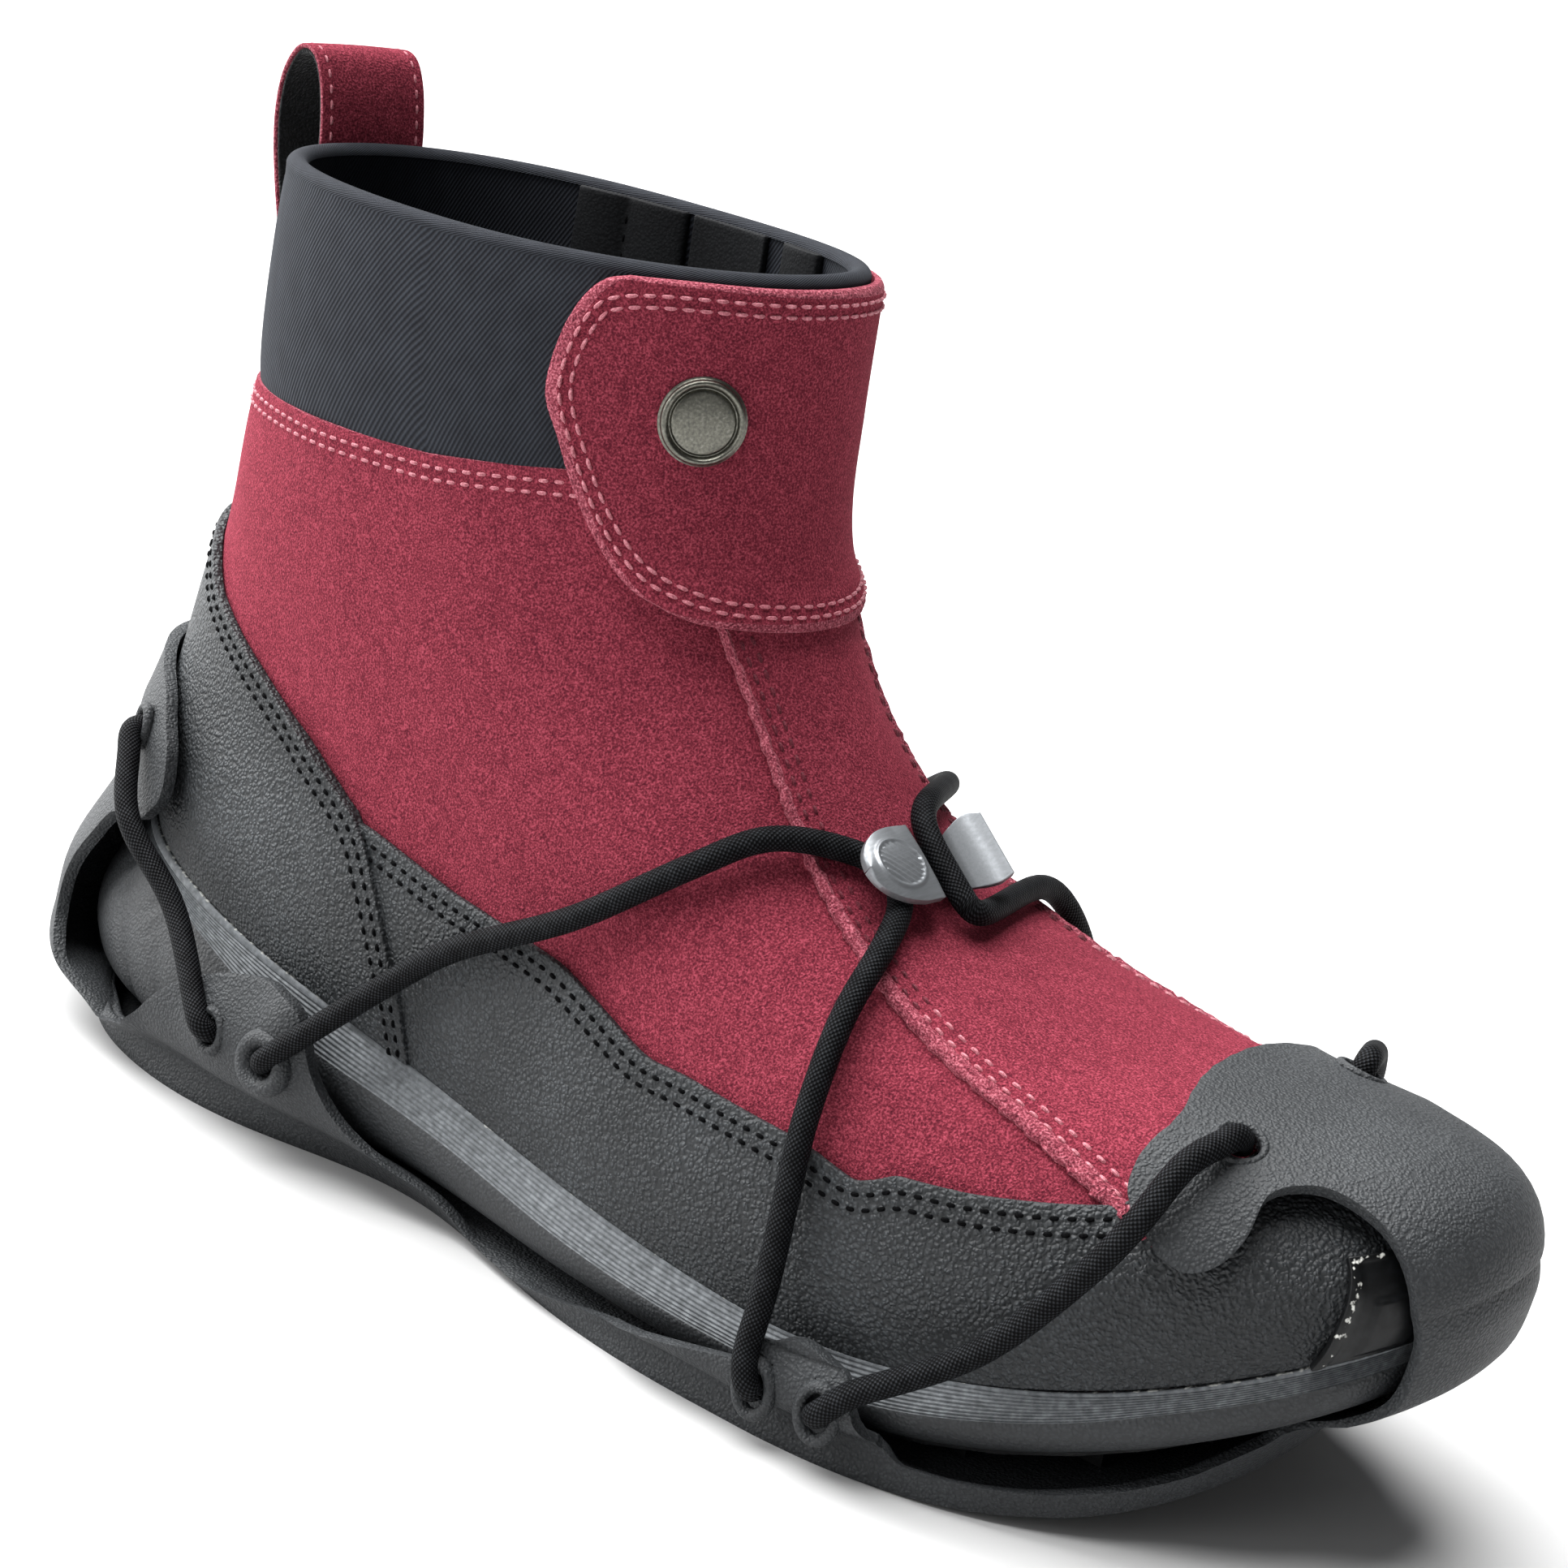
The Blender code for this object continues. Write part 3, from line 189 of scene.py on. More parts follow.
@dataclass(frozen=True)
class Finish:
    """A surface's colours, gloss and grain; grain and relief are millimetres."""

    name: str
    pattern: Pattern
    dark: str
    base: str
    light: str
    roughness: float
    grain: float
    relief: float
    metallic: float = 0.0
    sheen: float = 0.0
    sheen_tint: str = "#ffffff"
    wear_and_glint_colour: Optional[str] = None      # colour of scuffs, and of the painted glints on the bumper's border, where the piece's own wear-and-glint attribute says
    specular: float = 0.5

    def material(self) -> bpy.types.Material:
        """The finish as a material, made once.

        Returns:
            The material: a ramp of colours, gloss and bump that all follow the pattern.
        """
        if self.name in bpy.data.materials:
            return bpy.data.materials[self.name]
        made = bpy.data.materials.new(self.name)
        made.use_nodes = True
        tree = made.node_tree
        shader = tree.nodes["Principled BSDF"]
        where = add(tree, "ShaderNodeTexCoord", {}, {})
        follows = self.pattern in (Pattern.KNIT, Pattern.BRAID)
        tone, height = self.grain_of(tree, where.outputs["UV" if follows else "Object"])
        ramp = add(tree, "ShaderNodeValToRGB", {}, {"Fac": tone})
        stops = ramp.color_ramp.elements
        stops[0].position, stops[1].position = TONES
        stops[0].color, stops[1].color = linear(self.dark), linear(self.light)
        stops.new(0.5).color = linear(self.base)
        colour = ramp.outputs["Color"]
        if self.wear_and_glint_colour:
            colour = self.scuffed_and_glinting(tree, where.outputs["Object"], colour)
        gloss = add(tree, "ShaderNodeMapRange", {}, {
            "Value": tone, "From Min": GLOSS_TONES[0], "From Max": GLOSS_TONES[1],
            "To Min": min(1.0, self.roughness + GLOSS_SWING), "To Max": self.roughness - GLOSS_SWING})
        bump = add(tree, "ShaderNodeBump", {}, {
            "Height": height, "Strength": 1.0, "Distance": self.relief * MM})
        fill(tree, shader, {
            "Base Color": colour, "Roughness": gloss.outputs["Result"], "Normal": bump.outputs["Normal"],
            "Metallic": self.metallic, "Specular IOR Level": self.specular, "Sheen Weight": self.sheen,
            "Sheen Roughness": SHEEN_ROUGHNESS, "Sheen Tint": linear(self.sheen_tint)})
        return made

    def scuffed_and_glinting(self, tree: Tree, place: Socket, colour: Socket) -> Socket:
        """Colour with pale specks where the wear-and-glint attribute is high: noise over a threshold, times the
        attribute. They are scuffs, and on the bumper's border painted glints as well.

        Args:
            tree: the material's nodes.
            place: the coordinates.
            colour: the unworn colour.
        Returns:
            The output that carries the colour.
        """
        wear_and_glint = add(tree, "ShaderNodeAttribute", {"attribute_name": "wear_and_glint"}, {})
        speck = noise(tree, place, 1 / (SPECK_MM * MM), 2.0)["Fac"]
        over = add(tree, "ShaderNodeMath", {"operation": "MULTIPLY_ADD"},
                   {0: wear_and_glint.outputs["Fac"], 1: WEAR_AND_GLINT_GAIN, 2: speck})
        share = add(tree, "ShaderNodeMapRange", {}, {
            "Value": over.outputs[0], "From Min": SPECK_EDGE[0], "From Max": SPECK_EDGE[1]})
        return add(tree, "ShaderNodeMix", {"data_type": "RGBA"}, {
            0: share.outputs["Result"], 6: colour, 7: linear(self.wear_and_glint_colour)}).outputs[2]

    def grain_of(self, tree: Tree, place: Socket) -> tuple[Socket, Socket]:
        """The pattern's tone, about 0.3 dark to 0.7 light, and its height, 0 to 1.

        Args:
            tree: the material's nodes.
            place: the coordinates, in metres or in UV units.
        Returns:
            The outputs that carry tone and height.
        """
        fine = 1 / (self.grain * MM)
        cloud = noise(tree, place, 1 / (CLOUD_MM * MM), 3.0)["Fac"]
        grit = noise(tree, place, fine, 2.0)["Fac"]
        height, share = grit, 0.55
        if self.pattern is Pattern.PEBBLE:
            twist = noise(tree, place, fine * 0.55, 1.0)["Color"]
            pull = add(tree, "ShaderNodeVectorMath", {"operation": "MULTIPLY_ADD"},
                       {0: twist, 1: (1.1 * self.grain * MM,) * 3, 2: place})
            cell = add(tree, "ShaderNodeTexVoronoi", {"feature": "SMOOTH_F1"},
                       {"Vector": pull.outputs[0], "Scale": fine, "Smoothness": 0.35})
            round_top = add(tree, "ShaderNodeMapRange", {}, {
                "Value": cell.outputs["Distance"], "From Min": 0.1, "From Max": 0.75,
                "To Min": 1.0, "To Max": 0.0})
            height, share = round_top.outputs["Result"], 0.14
        elif self.pattern in (Pattern.KNIT, Pattern.BRAID):
            ribs = []
            for lean in (1.0, -1.0):
                turned = add(tree, "ShaderNodeMapping", {}, {"Vector": place, "Scale": (1.0, lean, 1.0)})
                wave = add(tree, "ShaderNodeTexWave", {"bands_direction": "DIAGONAL"}, {
                    "Vector": turned.outputs["Vector"], "Scale": WAVE_UNIT / (self.grain * UV_MM)})
                ribs.append(wave.outputs["Fac"])
            height, share = mixed(tree, 0.5 if self.pattern is Pattern.BRAID else 0.12, *ribs), 0.3
        elif self.pattern is Pattern.BRUSHED:
            drawn = add(tree, "ShaderNodeMapping", {}, {"Vector": place, "Scale": (1.0, 0.08, 1.0)})
            height = noise(tree, drawn.outputs["Vector"], fine, 3.0)["Fac"]
        elif self.pattern is Pattern.NAP:
            strokes = noise(tree, place, fine / 7, 4.0, 0.6)["Fac"]
            height, share = mixed(tree, 0.16, grit, strokes), 0.86
        faint = mixed(tree, CLOUD_SHARE, 0.5, cloud)
        return mixed(tree, share, faint, height), height


# Split leather brushed on its flesh side: velvety, with pale fibre tips and darker strokes
SUEDE = Finish("brushed_suede", Pattern.NAP, "#4b1824", "#6d2733", "#97404f", 0.95, 0.4, 0.42, sheen=0.3,
               sheen_tint="#c25666", specular=0.06)
# The cut edge of the same hide: loose pale fibres
SUEDE_EDGE = Finish("suede_raw_edge", Pattern.NAP, "#501c27", "#833946", "#b86a76", 0.97, 0.42, 0.6,
                    sheen=0.2, sheen_tint="#cf8f98", specular=0.1)
# Knitted lycra laminated on foam: fine slanting ribs, dull blue-black
KNIT = Finish("laminated_knit", Pattern.KNIT, "#101116", "#1a1c22", "#2a2e35", 0.85, 0.7, 0.1, sheen=0.05,
              sheen_tint="#8b95a3", specular=0.2)
# Leather with a pressed polyurethane coat: pebbled, satin on its tops
COATED = Finish("pebbled_coated_leather", Pattern.PEBBLE, "#151718", "#292b2d", "#484c4f", 0.48, 0.78, 0.33,
                specular=0.27)
# Thin smooth lining leather, a little glossy where it creases
LINING = Finish("lining_leather", Pattern.PEBBLE, "#0a0a0c", "#131416", "#1d1e20", 0.7, 0.6, 0.05,
                specular=0.1)
# Injected foam with a tool-grained skin; scuffs show pale
MIDSOLE = Finish("moulded_foam_skin", Pattern.PEBBLE, "#1a1b1d", "#26282a", "#34373a", 0.58, 0.7, 0.12,
                 wear_and_glint_colour="#8f908c", specular=0.4)
# The same foam where the tool cut fine ribs: paler and smoother
RIBBED = Finish("ribbed_foam_skin", Pattern.MOULDED, "#45484a", "#585b5e", "#6d7174", 0.6, 1.2, 0.03,
                wear_and_glint_colour="#9a9b97", specular=0.25)
# Polished carbon-filled rubber; the pale specks on its raised border are painted glints and chipped wear
BUMPER = Finish("polished_rubber", Pattern.MOULDED, "#050506", "#0b0c0d", "#151618", 0.36, 1.5, 0.02,
                wear_and_glint_colour="#d8d8d2", specular=0.25)
# Carbon-filled tread rubber, dusty in its corners
TREAD = Finish("tread_rubber", Pattern.MOULDED, "#060607", "#101112", "#1e2021", 0.42, 0.9, 0.08,
               wear_and_glint_colour="#a9a9a4")
# Thermoplastic elastomer from a spark-eroded tool: matt dark grey with a sandy grain
ELASTOMER = Finish("matt_elastomer", Pattern.PEBBLE, "#1f2123", "#2e3032", "#434648", 0.58, 0.62, 0.19,
                   specular=0.3)
# Polyester sleeve braided over a rubber core: sixteen strands each way, so the pattern closes round the cord
BRAID = Finish("braided_sleeve", Pattern.BRAID, "#010102", "#060607", "#2a2c2f", 0.6, 0.9032, 0.18,
               specular=0.06)
# Pressed stainless sheet, brushed along its length
STEEL = Finish("brushed_steel", Pattern.BRUSHED, "#6f7275", "#787b7e", "#818487", 0.38, 0.5, 0.015,
               metallic=0.6)
# Cast zinc with an old nickel finish: dark grey, bright on its edges
NICKEL = Finish("aged_nickel", Pattern.MOULDED, "#555550", "#68675f", "#7c7b74", 0.34, 0.5, 0.03,
                metallic=1.0)
# Black-oxide zip metal
ZIP_METAL = Finish("black_zip_metal", Pattern.BRUSHED, "#26282a", "#3a3c3f", "#55585c", 0.42, 0.5, 0.02,
                   metallic=0.9)
# Woven polyester zip tape
TAPE = Finish("woven_tape", Pattern.KNIT, "#08090a", "#121416", "#212427", 0.8, 0.7, 0.1, specular=0.3)
# Needle felt: matted black fibres
FELT = Finish("needle_felt", Pattern.FELT, "#050506", "#0d0e0f", "#1c1d20", 0.97, 0.55, 0.45, sheen=0.15,
              specular=0.15)
# Bonded polyester thread in the suede's pink, a darker one above, and the black one for the leather
PINK_THREAD = Finish("pink_thread", Pattern.MOULDED, "#7d3641", "#a65b66", "#cc8791", 0.6, 0.35, 0.05,
                     sheen=0.1)
RED_THREAD = Finish("red_thread", Pattern.MOULDED, "#360e17", "#561c27", "#7c3441", 0.65, 0.35, 0.05,
                    specular=0.2)
DARK_THREAD = Finish("black_thread", Pattern.MOULDED, "#010101", "#030304", "#08080a", 0.8, 0.35, 0.05,
                     specular=0.05)


def through(table: Array, level: Array) -> Array:
    """Rows of a table at fractional row numbers, on a Catmull-Rom curve through them.

    Args:
        table: rows of numbers, of any shape.
        level: row numbers, clipped to the table.
    Returns:
        The rows, with the shape of level and then the shape of a row.
    """
    end = len(table) - 1
    level = np.clip(np.asarray(level, float), 0.0, end)
    i = np.minimum(level.astype(int), end - 1)
    tail = (1,) * (table.ndim - 1)
    f = (level - i).reshape(level.shape + tail)
    first, last = (i == 0).reshape(f.shape), (i == end - 1).reshape(f.shape)
    p1, p2 = table[i], table[i + 1]
    p0 = np.where(first, 2 * p1 - p2, table[np.maximum(i - 1, 0)])
    p3 = np.where(last, 2 * p2 - p1, table[np.minimum(i + 2, end)])
    return 0.5 * (2 * p1 + (p2 - p0) * f + (2 * p0 - 5 * p1 + 4 * p2 - p3) * f ** 2
                  + (3 * p1 - p0 - 3 * p2 + p3) * f ** 3)


@dataclass(frozen=True, eq=False)
class Loft:
    """A surface through plan rings: superellipses whose height climbs from the widest place to both ends."""

    rings: Array

    @staticmethod
    def column(row: Array, name: str) -> Array:
        """One named column of ring rows."""
        return row[..., RING.index(name)]

    def height(self, row: Array, x: Array) -> Array:
        """Height of a ring over a place along the foot: a power curve to the back and one to the front.

        Args:
            row: ring rows.
            x: places along the foot.
        Returns:
            Heights.
        """
        get = self.column
        mid, wide = get(row, "z_mid"), get(row, "x_wide")
        back = np.clip((wide - x) / (wide - get(row, "x_back")), 0, 1) ** BACK_RISE
        front = np.clip((x - wide) / (get(row, "x_front") - wide), 0, 1) ** get(row, "toe_rise")
        return mid + (get(row, "z_back") - mid) * back + (get(row, "z_front") - mid) * front

    def point(self, level: Array, turn: Array) -> Array:
        """Points of the surface: superellipse in plan, narrowed at the waist and swung at the toe.

        Args:
            level: ring numbers.
            turn: half turns from the back.
        Returns:
            Points, in millimetres.
        """
        level, turn = np.broadcast_arrays(np.asarray(level, float), np.asarray(turn, float))
        row, get = through(self.rings, level), self.column
        along, across = -np.cos(turn * PI), np.sin(turn * PI)
        power = 2.0 / np.where(along > 0, get(row, "n_front"), get(row, "n_back"))
        wide = get(row, "x_wide")
        length = np.where(along > 0, get(row, "x_front") - wide, wide - get(row, "x_back"))
        x = wide + length * signed_power(along, power)
        half = np.where(across > 0, get(row, "outer"), get(row, "inner"))
        waist = np.where(across > 0, get(row, "waist_outer"), get(row, "waist_inner"))
        narrow = 1.0 - waist * np.exp(-((x - WAIST_AT) / WAIST_LENGTH) ** 2) / half
        y = -half * signed_power(across, power) * narrow
        y = y + SWING * np.clip((x - SWING_FROM) / SWING_LENGTH, 0, None) ** 2
        return np.stack((x, y, self.height(row, x)), axis=-1)

    def normal(self, level: Array, turn: Array) -> Array:
        """Outward normals: the cross product of central differences round the rings and up them.

        Args:
            level: ring numbers.
            turn: half turns from the back.
        Returns:
            Unit vectors.
        """
        level, turn = np.broadcast_arrays(np.asarray(level, float), np.asarray(turn, float))
        high = np.minimum(level + 2 * RING_STEP, len(self.rings) - 1)
        low = np.maximum(level - 2 * RING_STEP, 0.0)
        up = self.point(high, turn) - self.point(low, turn)
        return unit(np.cross(self.ahead(level, turn, 2 * TURN_STEP), up))

    def ahead(self, level: Array, turn: Array, step: float) -> Array:
        """From the points a step behind to those a step ahead, round the rings."""
        return self.point(level, turn + step) - self.point(level, turn - step)

    def skin(self, level: Array, turn: Array, out: Array = 0.0) -> Array:
        """Points that stand a distance out of the surface along its normals."""
        return self.point(level, turn) + self.normal(level, turn) * np.asarray(out, float)[..., None]

    def beside(self, level: Array, turn: Array, step: float) -> tuple[Array, Array]:
        """A path on the surface beside another one, found by Newton steps towards the shifted points.

        Args:
            level: ring numbers along the path.
            turn: half turns along the path.
            step: millimetres to the left of its direction, seen from outside.
        Returns:
            Ring numbers and half turns of the shifted path.
        """
        start = self.point(level, turn)
        side = unit(np.cross(self.normal(level, turn), np.gradient(start, axis=0)))
        target = start + side * step
        for _ in range(NEWTON_STEPS):
            rise = self.point(level + RING_STEP, turn) - self.point(level - RING_STEP, turn)
            rise = rise / (2 * RING_STEP)
            run = self.ahead(level, turn, TURN_STEP) / (2 * TURN_STEP)
            left = target - self.point(level, turn)
            a, b, c = (rise * rise).sum(-1), (rise * run).sum(-1), (run * run).sum(-1)
            p, q = (left * rise).sum(-1), (left * run).sum(-1)
            det = np.maximum(a * c - b * b, 1e-9)
            level, turn = level + (c * p - b * q) / det, turn + (a * q - b * p) / det
        return level, turn


def unit(v: Array) -> Array:
    """Vectors made one long."""
    return v / np.maximum(np.linalg.norm(v, axis=-1, keepdims=True), 1e-12)


def axes_of(up: Array, towards: Array) -> Array:
    """Rows of unit vectors: along a direction as far as it is level, across, and up."""
    along = unit(towards - up * (towards @ up))
    return np.stack((along, np.cross(up, along), up))


def signed_power(v: Array, power: Array) -> Array:
    """Powers of the sizes of numbers, with the numbers' signs: the edge of a superellipse."""
    return np.sign(v) * np.abs(v) ** power


def circle(count: int) -> Array:
    """Evenly spaced angles of a whole turn."""
    return np.arange(count) * (2 * PI / count)


def smoothed(path: Array, window: Array) -> Array:
    """Rows of numbers averaged along a path with a window of weights; the ends are held."""
    held = np.pad(path, ((len(window) // 2,) * 2, (0, 0)), "edge")
    return np.stack([np.convolve(column, window, "valid") for column in held.T], axis=1)


def tabled(*rows: tuple) -> Array:
    """A dataclass field that holds rows of numbers."""
    return field(default_factory=lambda: np.array(rows))


LAST = Loft(UPPER_RINGS)
SOLE = Loft(SOLE_RINGS)
HULL = Loft(np.vstack((FLOOR_RING, SOLE_RINGS, UPPER_RINGS[1:5])))


def mirrored(turn: Array) -> Array:
    """Half turns from the back on either side."""
    turn = np.asarray(turn, float)
    return np.where(turn > 1, 2 - turn, turn)


def eased(at: Array, table: Array, column: int, width: float) -> Array:
    """A column of a table over its first column, averaged over a width so that its corners are round.

    Args:
        at: places in the first column.
        table: rows, first column rising.
        column: the column that is read.
        width: the window, in units of the first column.
    Returns:
        The averaged values.
    """
    shifts = np.linspace(-0.5, 0.5, 9) * width
    return np.mean([np.interp(at + s, table[:, 0], table[:, column]) for s in shifts], axis=0)


def ripple(p: Array) -> Array:
    """The hide's slight unevenness: a product of two long sine waves over the place, and a shorter wave.

    Args:
        p: points on the last.
    Returns:
        Millimetres out of the last.
    """
    x, y, z = np.moveaxis(p, -1, 0)
    return (0.26 * np.sin(x / 9.1 + z / 13.0) * np.sin(y / 11.0 - x / 17.0 + 1.3)
            + 0.14 * np.sin(x / 5.3 + y / 7.9 + z / 6.1))


def hide(level: Array, turn: Array, out: Array = 0.0) -> Array:
    """The suede's surface: the last with the hide's unevenness, a distance out."""
    return LAST.skin(level, turn, np.asarray(out, float) + ripple(LAST.point(level, turn)))


def fuzz(level: Array, turn: Array, near: Array) -> Array:
    """Loose fibres of a raw edge: short waves over the last where the share from the edge is under 0.9."""
    return np.sin(level * 97.0) * np.sin(turn * 611.0 + level * 41.0) * (near < 0.9)


def sole_lip(turn: Array, below: float) -> Array:
    """Ring of the upper that lies a distance below the midsole's lip: the nearest of finely spaced rings.

    Args:
        turn: half turns.
        below: millimetres below the lip.
    Returns:
        Ring numbers.
    """
    levels = np.linspace(0.0, 2.0, 201)
    lip = SOLE.point(len(SOLE_RINGS) - 1, turn)[..., 2] - below
    heights = LAST.point(levels, np.asarray(turn)[..., None])[..., 2]
    return levels[np.argmin(np.abs(heights - lip[..., None]), axis=-1)]


def collar_line(turn: Array) -> Array:
    """Ring where the suede ends, lower at the back."""
    return COLLAR_LINE[0] - COLLAR_LINE[1] * np.cos(np.asarray(turn) * PI)


@dataclass
class Shape:
    """Points in millimetres and faces; slots are the faces' finishes, uv is of corners, wear_and_glint of
    points (scuffs, and painted glints on the bumper).
    """

    points: Array
    faces: list
    slots: Optional[Array] = None
    uv: Optional[Array] = None
    wear_and_glint: Optional[Array] = None


def numbered(shape: Sequence[int], start: int = 0) -> Array:
    """Vertex numbers of a grid of rows and columns."""
    return np.arange(start, start + shape[0] * shape[1]).reshape(shape[:2])


def grid_faces(numbers: Array, wrap: bool) -> list:
    """Quads of a grid of vertex numbers, rows upwards and columns to the right.

    Args:
        numbers: vertex numbers.
        wrap: whether the last column joins the first.
    Returns:
        The quads.
    """
    right = np.roll(numbers, -1, axis=1)
    quads = np.stack((numbers[:-1], right[:-1], right[1:], numbers[1:]), axis=-1)
    return (quads if wrap else quads[:, :-1]).reshape(-1, 4).tolist()


def walled(outer: Array, inner: Array, faces: list, rim_slot: int = 0, back_slot: int = 0,
           border: Optional[Array] = None) -> Shape:
    """A closed wall between two layers with the same layout; every free edge gets a rim.

    Args:
        outer: points of the outer layer.
        inner: points of the inner layer.
        faces: faces of the outer layer.
        rim_slot: finish of the rim.
        back_slot: finish of the inner layer.
        border: which faces of the outer layer have the rim's finish too.
    Returns:
        The closed shape.
    """
    count = len(outer)
    edges = {(face[k - 1], face[k]) for face in faces for k in range(len(face))}
    rim = sorted([b, a, a + count, b + count] for a, b in edges if (b, a) not in edges)
    behind = [[k + count for k in face[::-1]] for face in faces]
    slots = np.repeat((0, back_slot, rim_slot), (len(faces), len(behind), len(rim)))
    if border is not None:
        slots[:len(faces)][border] = rim_slot
    return Shape(np.concatenate((outer, inner)), faces + behind + rim, slots)


def wall_grid(outer: Array, inner: Array, wrap: bool = False, rim_slot: int = 0, back_slot: int = 0,
              border: Optional[Array] = None) -> Shape:
    """A closed wall between two grids of points."""
    faces = grid_faces(numbered(outer.shape), wrap)
    return walled(outer.reshape(-1, 3), inner.reshape(-1, 3), faces, rim_slot, back_slot, border)


def spread(count: int, margin: float) -> Array:
    """Shares from 0 to 1, closely spaced within a margin at both ends."""
    close = margin * np.array((0.0, 0.12, 0.3, 0.6))
    return np.concatenate((close, np.linspace(margin, 1 - margin, count - 8), 1 - close[::-1]))


def corner_uv(u: Array, v: Array, more: int = 0) -> Array:
    """UV of a grid's face corners.

    Args:
        u: millimetres at the rows, one more than rows of faces.
        v: millimetres at the columns, one more than columns of faces, or a grid of both.
        more: corners of other faces after the grid's, which get zeros.
    Returns:
        Rows of u and v.
    """
    u, v = np.broadcast_arrays(np.asarray(u, float)[:, None], np.asarray(v, float)[None, :])
    at = np.stack((u, v), axis=-1) * UV_MM
    corners = np.stack((at[:-1, :-1], at[:-1, 1:], at[1:, 1:], at[1:, :-1]), axis=2).reshape(-1, 2)
    return np.concatenate((corners, np.zeros((more, 2))))


def tubes(bodies: Array, flip: bool = False) -> Shape:
    """Closed bodies from grids of rings, with a face at each end.

    Args:
        bodies: points by body, by ring along it and by place round it.
        flip: whether the places go round the other way.
    Returns:
        All the bodies as one shape.
    """
    count, rows, columns = bodies.shape[:3]
    numbers = numbered((rows, columns))
    one = grid_faces(numbers, True) + [numbers[0, ::-1].tolist(), numbers[-1].tolist()]
    one = [face[::-1] for face in one] if flip else one
    faces = [[k + rows * columns * n for k in face] for n in range(count) for face in one]
    return Shape(bodies.reshape(-1, 3), faces)


def ring_body(rings: Array) -> Shape:
    """A closed body from a grid of rings that comes back to its start, rows along it and columns round it."""
    numbers = numbered(rings.shape)
    return Shape(rings.reshape(-1, 3), grid_faces(np.vstack((numbers, numbers[:1])), True))


def welded(layers: Sequence[Array], faces: list) -> tuple[list, list]:
    """Joins points that coincide in the first layer, in all layers alike, and drops faces without area.

    Args:
        layers: layers of points with the same layout.
        faces: faces of a layer.
    Returns:
        The layers and the faces, renumbered.
    """
    steps = np.round(layers[0] / WELD_MM).astype(int)
    _, first, back = np.unique(steps, axis=0, return_index=True, return_inverse=True)
    back = back.ravel()
    kept = [list(dict.fromkeys(back[face].tolist())) for face in faces]
    return [layer[first] for layer in layers], [face for face in kept if len(face) > 2]


def joined(shapes: Sequence[Shape]) -> Shape:
    """Several shapes of one finish as one shape.

    Args:
        shapes: the shapes.
    Returns:
        All their points and faces.
    """
    starts = np.cumsum([0] + [len(s.points) for s in shapes[:-1]])
    faces = [[k + int(n) for k in face] for s, n in zip(shapes, starts) for face in s.faces]
    return Shape(np.concatenate([s.points for s in shapes]), faces)


def to_frame(points: Array) -> Array:
    """Last coordinates in millimetres to the CAD frame in metres."""
    return (points - (HEEL_SEAT, 0.0, 0.0)) * MM


def make(name: str, shape: Shape, finishes: Sequence[Finish], body: str = "boot",
         replaces: Sequence[str] = (), edge: float = 0.0) -> None:
    """Puts a shape into the scene as a piece.

    Args:
        name: the piece's name.
        shape: its points and faces.
        finishes: its finishes, by slot number.
        body: the CAD body that it rides on.
        replaces: CAD nodes that it stands for.
        edge: millimetres that its sharp edges are rounded by.
    """
    mesh = bpy.data.meshes.new(name)
    mesh.from_pydata(to_frame(shape.points).tolist(), [], shape.faces)
    mesh.polygons.foreach_set("use_smooth", np.ones(len(mesh.polygons), bool))
    for finish in finishes:
        mesh.materials.append(finish.material())
    if shape.slots is not None:
        mesh.polygons.foreach_set("material_index", np.asarray(shape.slots, np.int32))
    if shape.uv is not None:
        mesh.uv_layers.new(name="along").uv.foreach_set("vector", shape.uv.astype(np.float32).ravel())
    if shape.wear_and_glint is not None:
        layer = mesh.attributes.new("wear_and_glint", "FLOAT", "POINT")
        layer.data.foreach_set("value", shape.wear_and_glint.astype(np.float32))
    mesh.validate()
    thing = bpy.data.objects.new(name, mesh)
    bpy.context.scene.collection.objects.link(thing)
    if edge:
        rounding = thing.modifiers.new("rounded edges", "BEVEL")
        rounding.width, rounding.segments = edge * MM, 2
        rounding.limit_method, rounding.angle_limit = "ANGLE", BEVEL_ANGLE
        rounding.use_clamp_overlap = True
    else:
        mesh.set_sharp_from_angle(angle=SHARP_ANGLE)
    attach(thing, body)
    if replaces:
        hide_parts(*replaces)
    LOG.info("%s: %d faces", name, len(shape.faces))


def lengths(path: Array) -> Array:
    """Lengths along a path, from its start to each of its points."""
    return np.concatenate(([0.0], np.cumsum(np.linalg.norm(np.diff(path, axis=0), axis=1))))


def spaced(path: Array, step: float, *others: Array) -> list[Array]:
    """A path at even steps along its length, and other rows that go with it.

    Args:
        path: points.
        step: the spacing aimed at.
        others: rows that are read at the same places.
    Returns:
        The path and the others, resampled.
    """
    run = lengths(path)
    at = np.linspace(0, run[-1], max(2, int(run[-1] / step)) + 1)
    return [np.stack([np.interp(at, run, rows[:, k]) for k in range(3)], axis=1) for rows in (path, *others)]


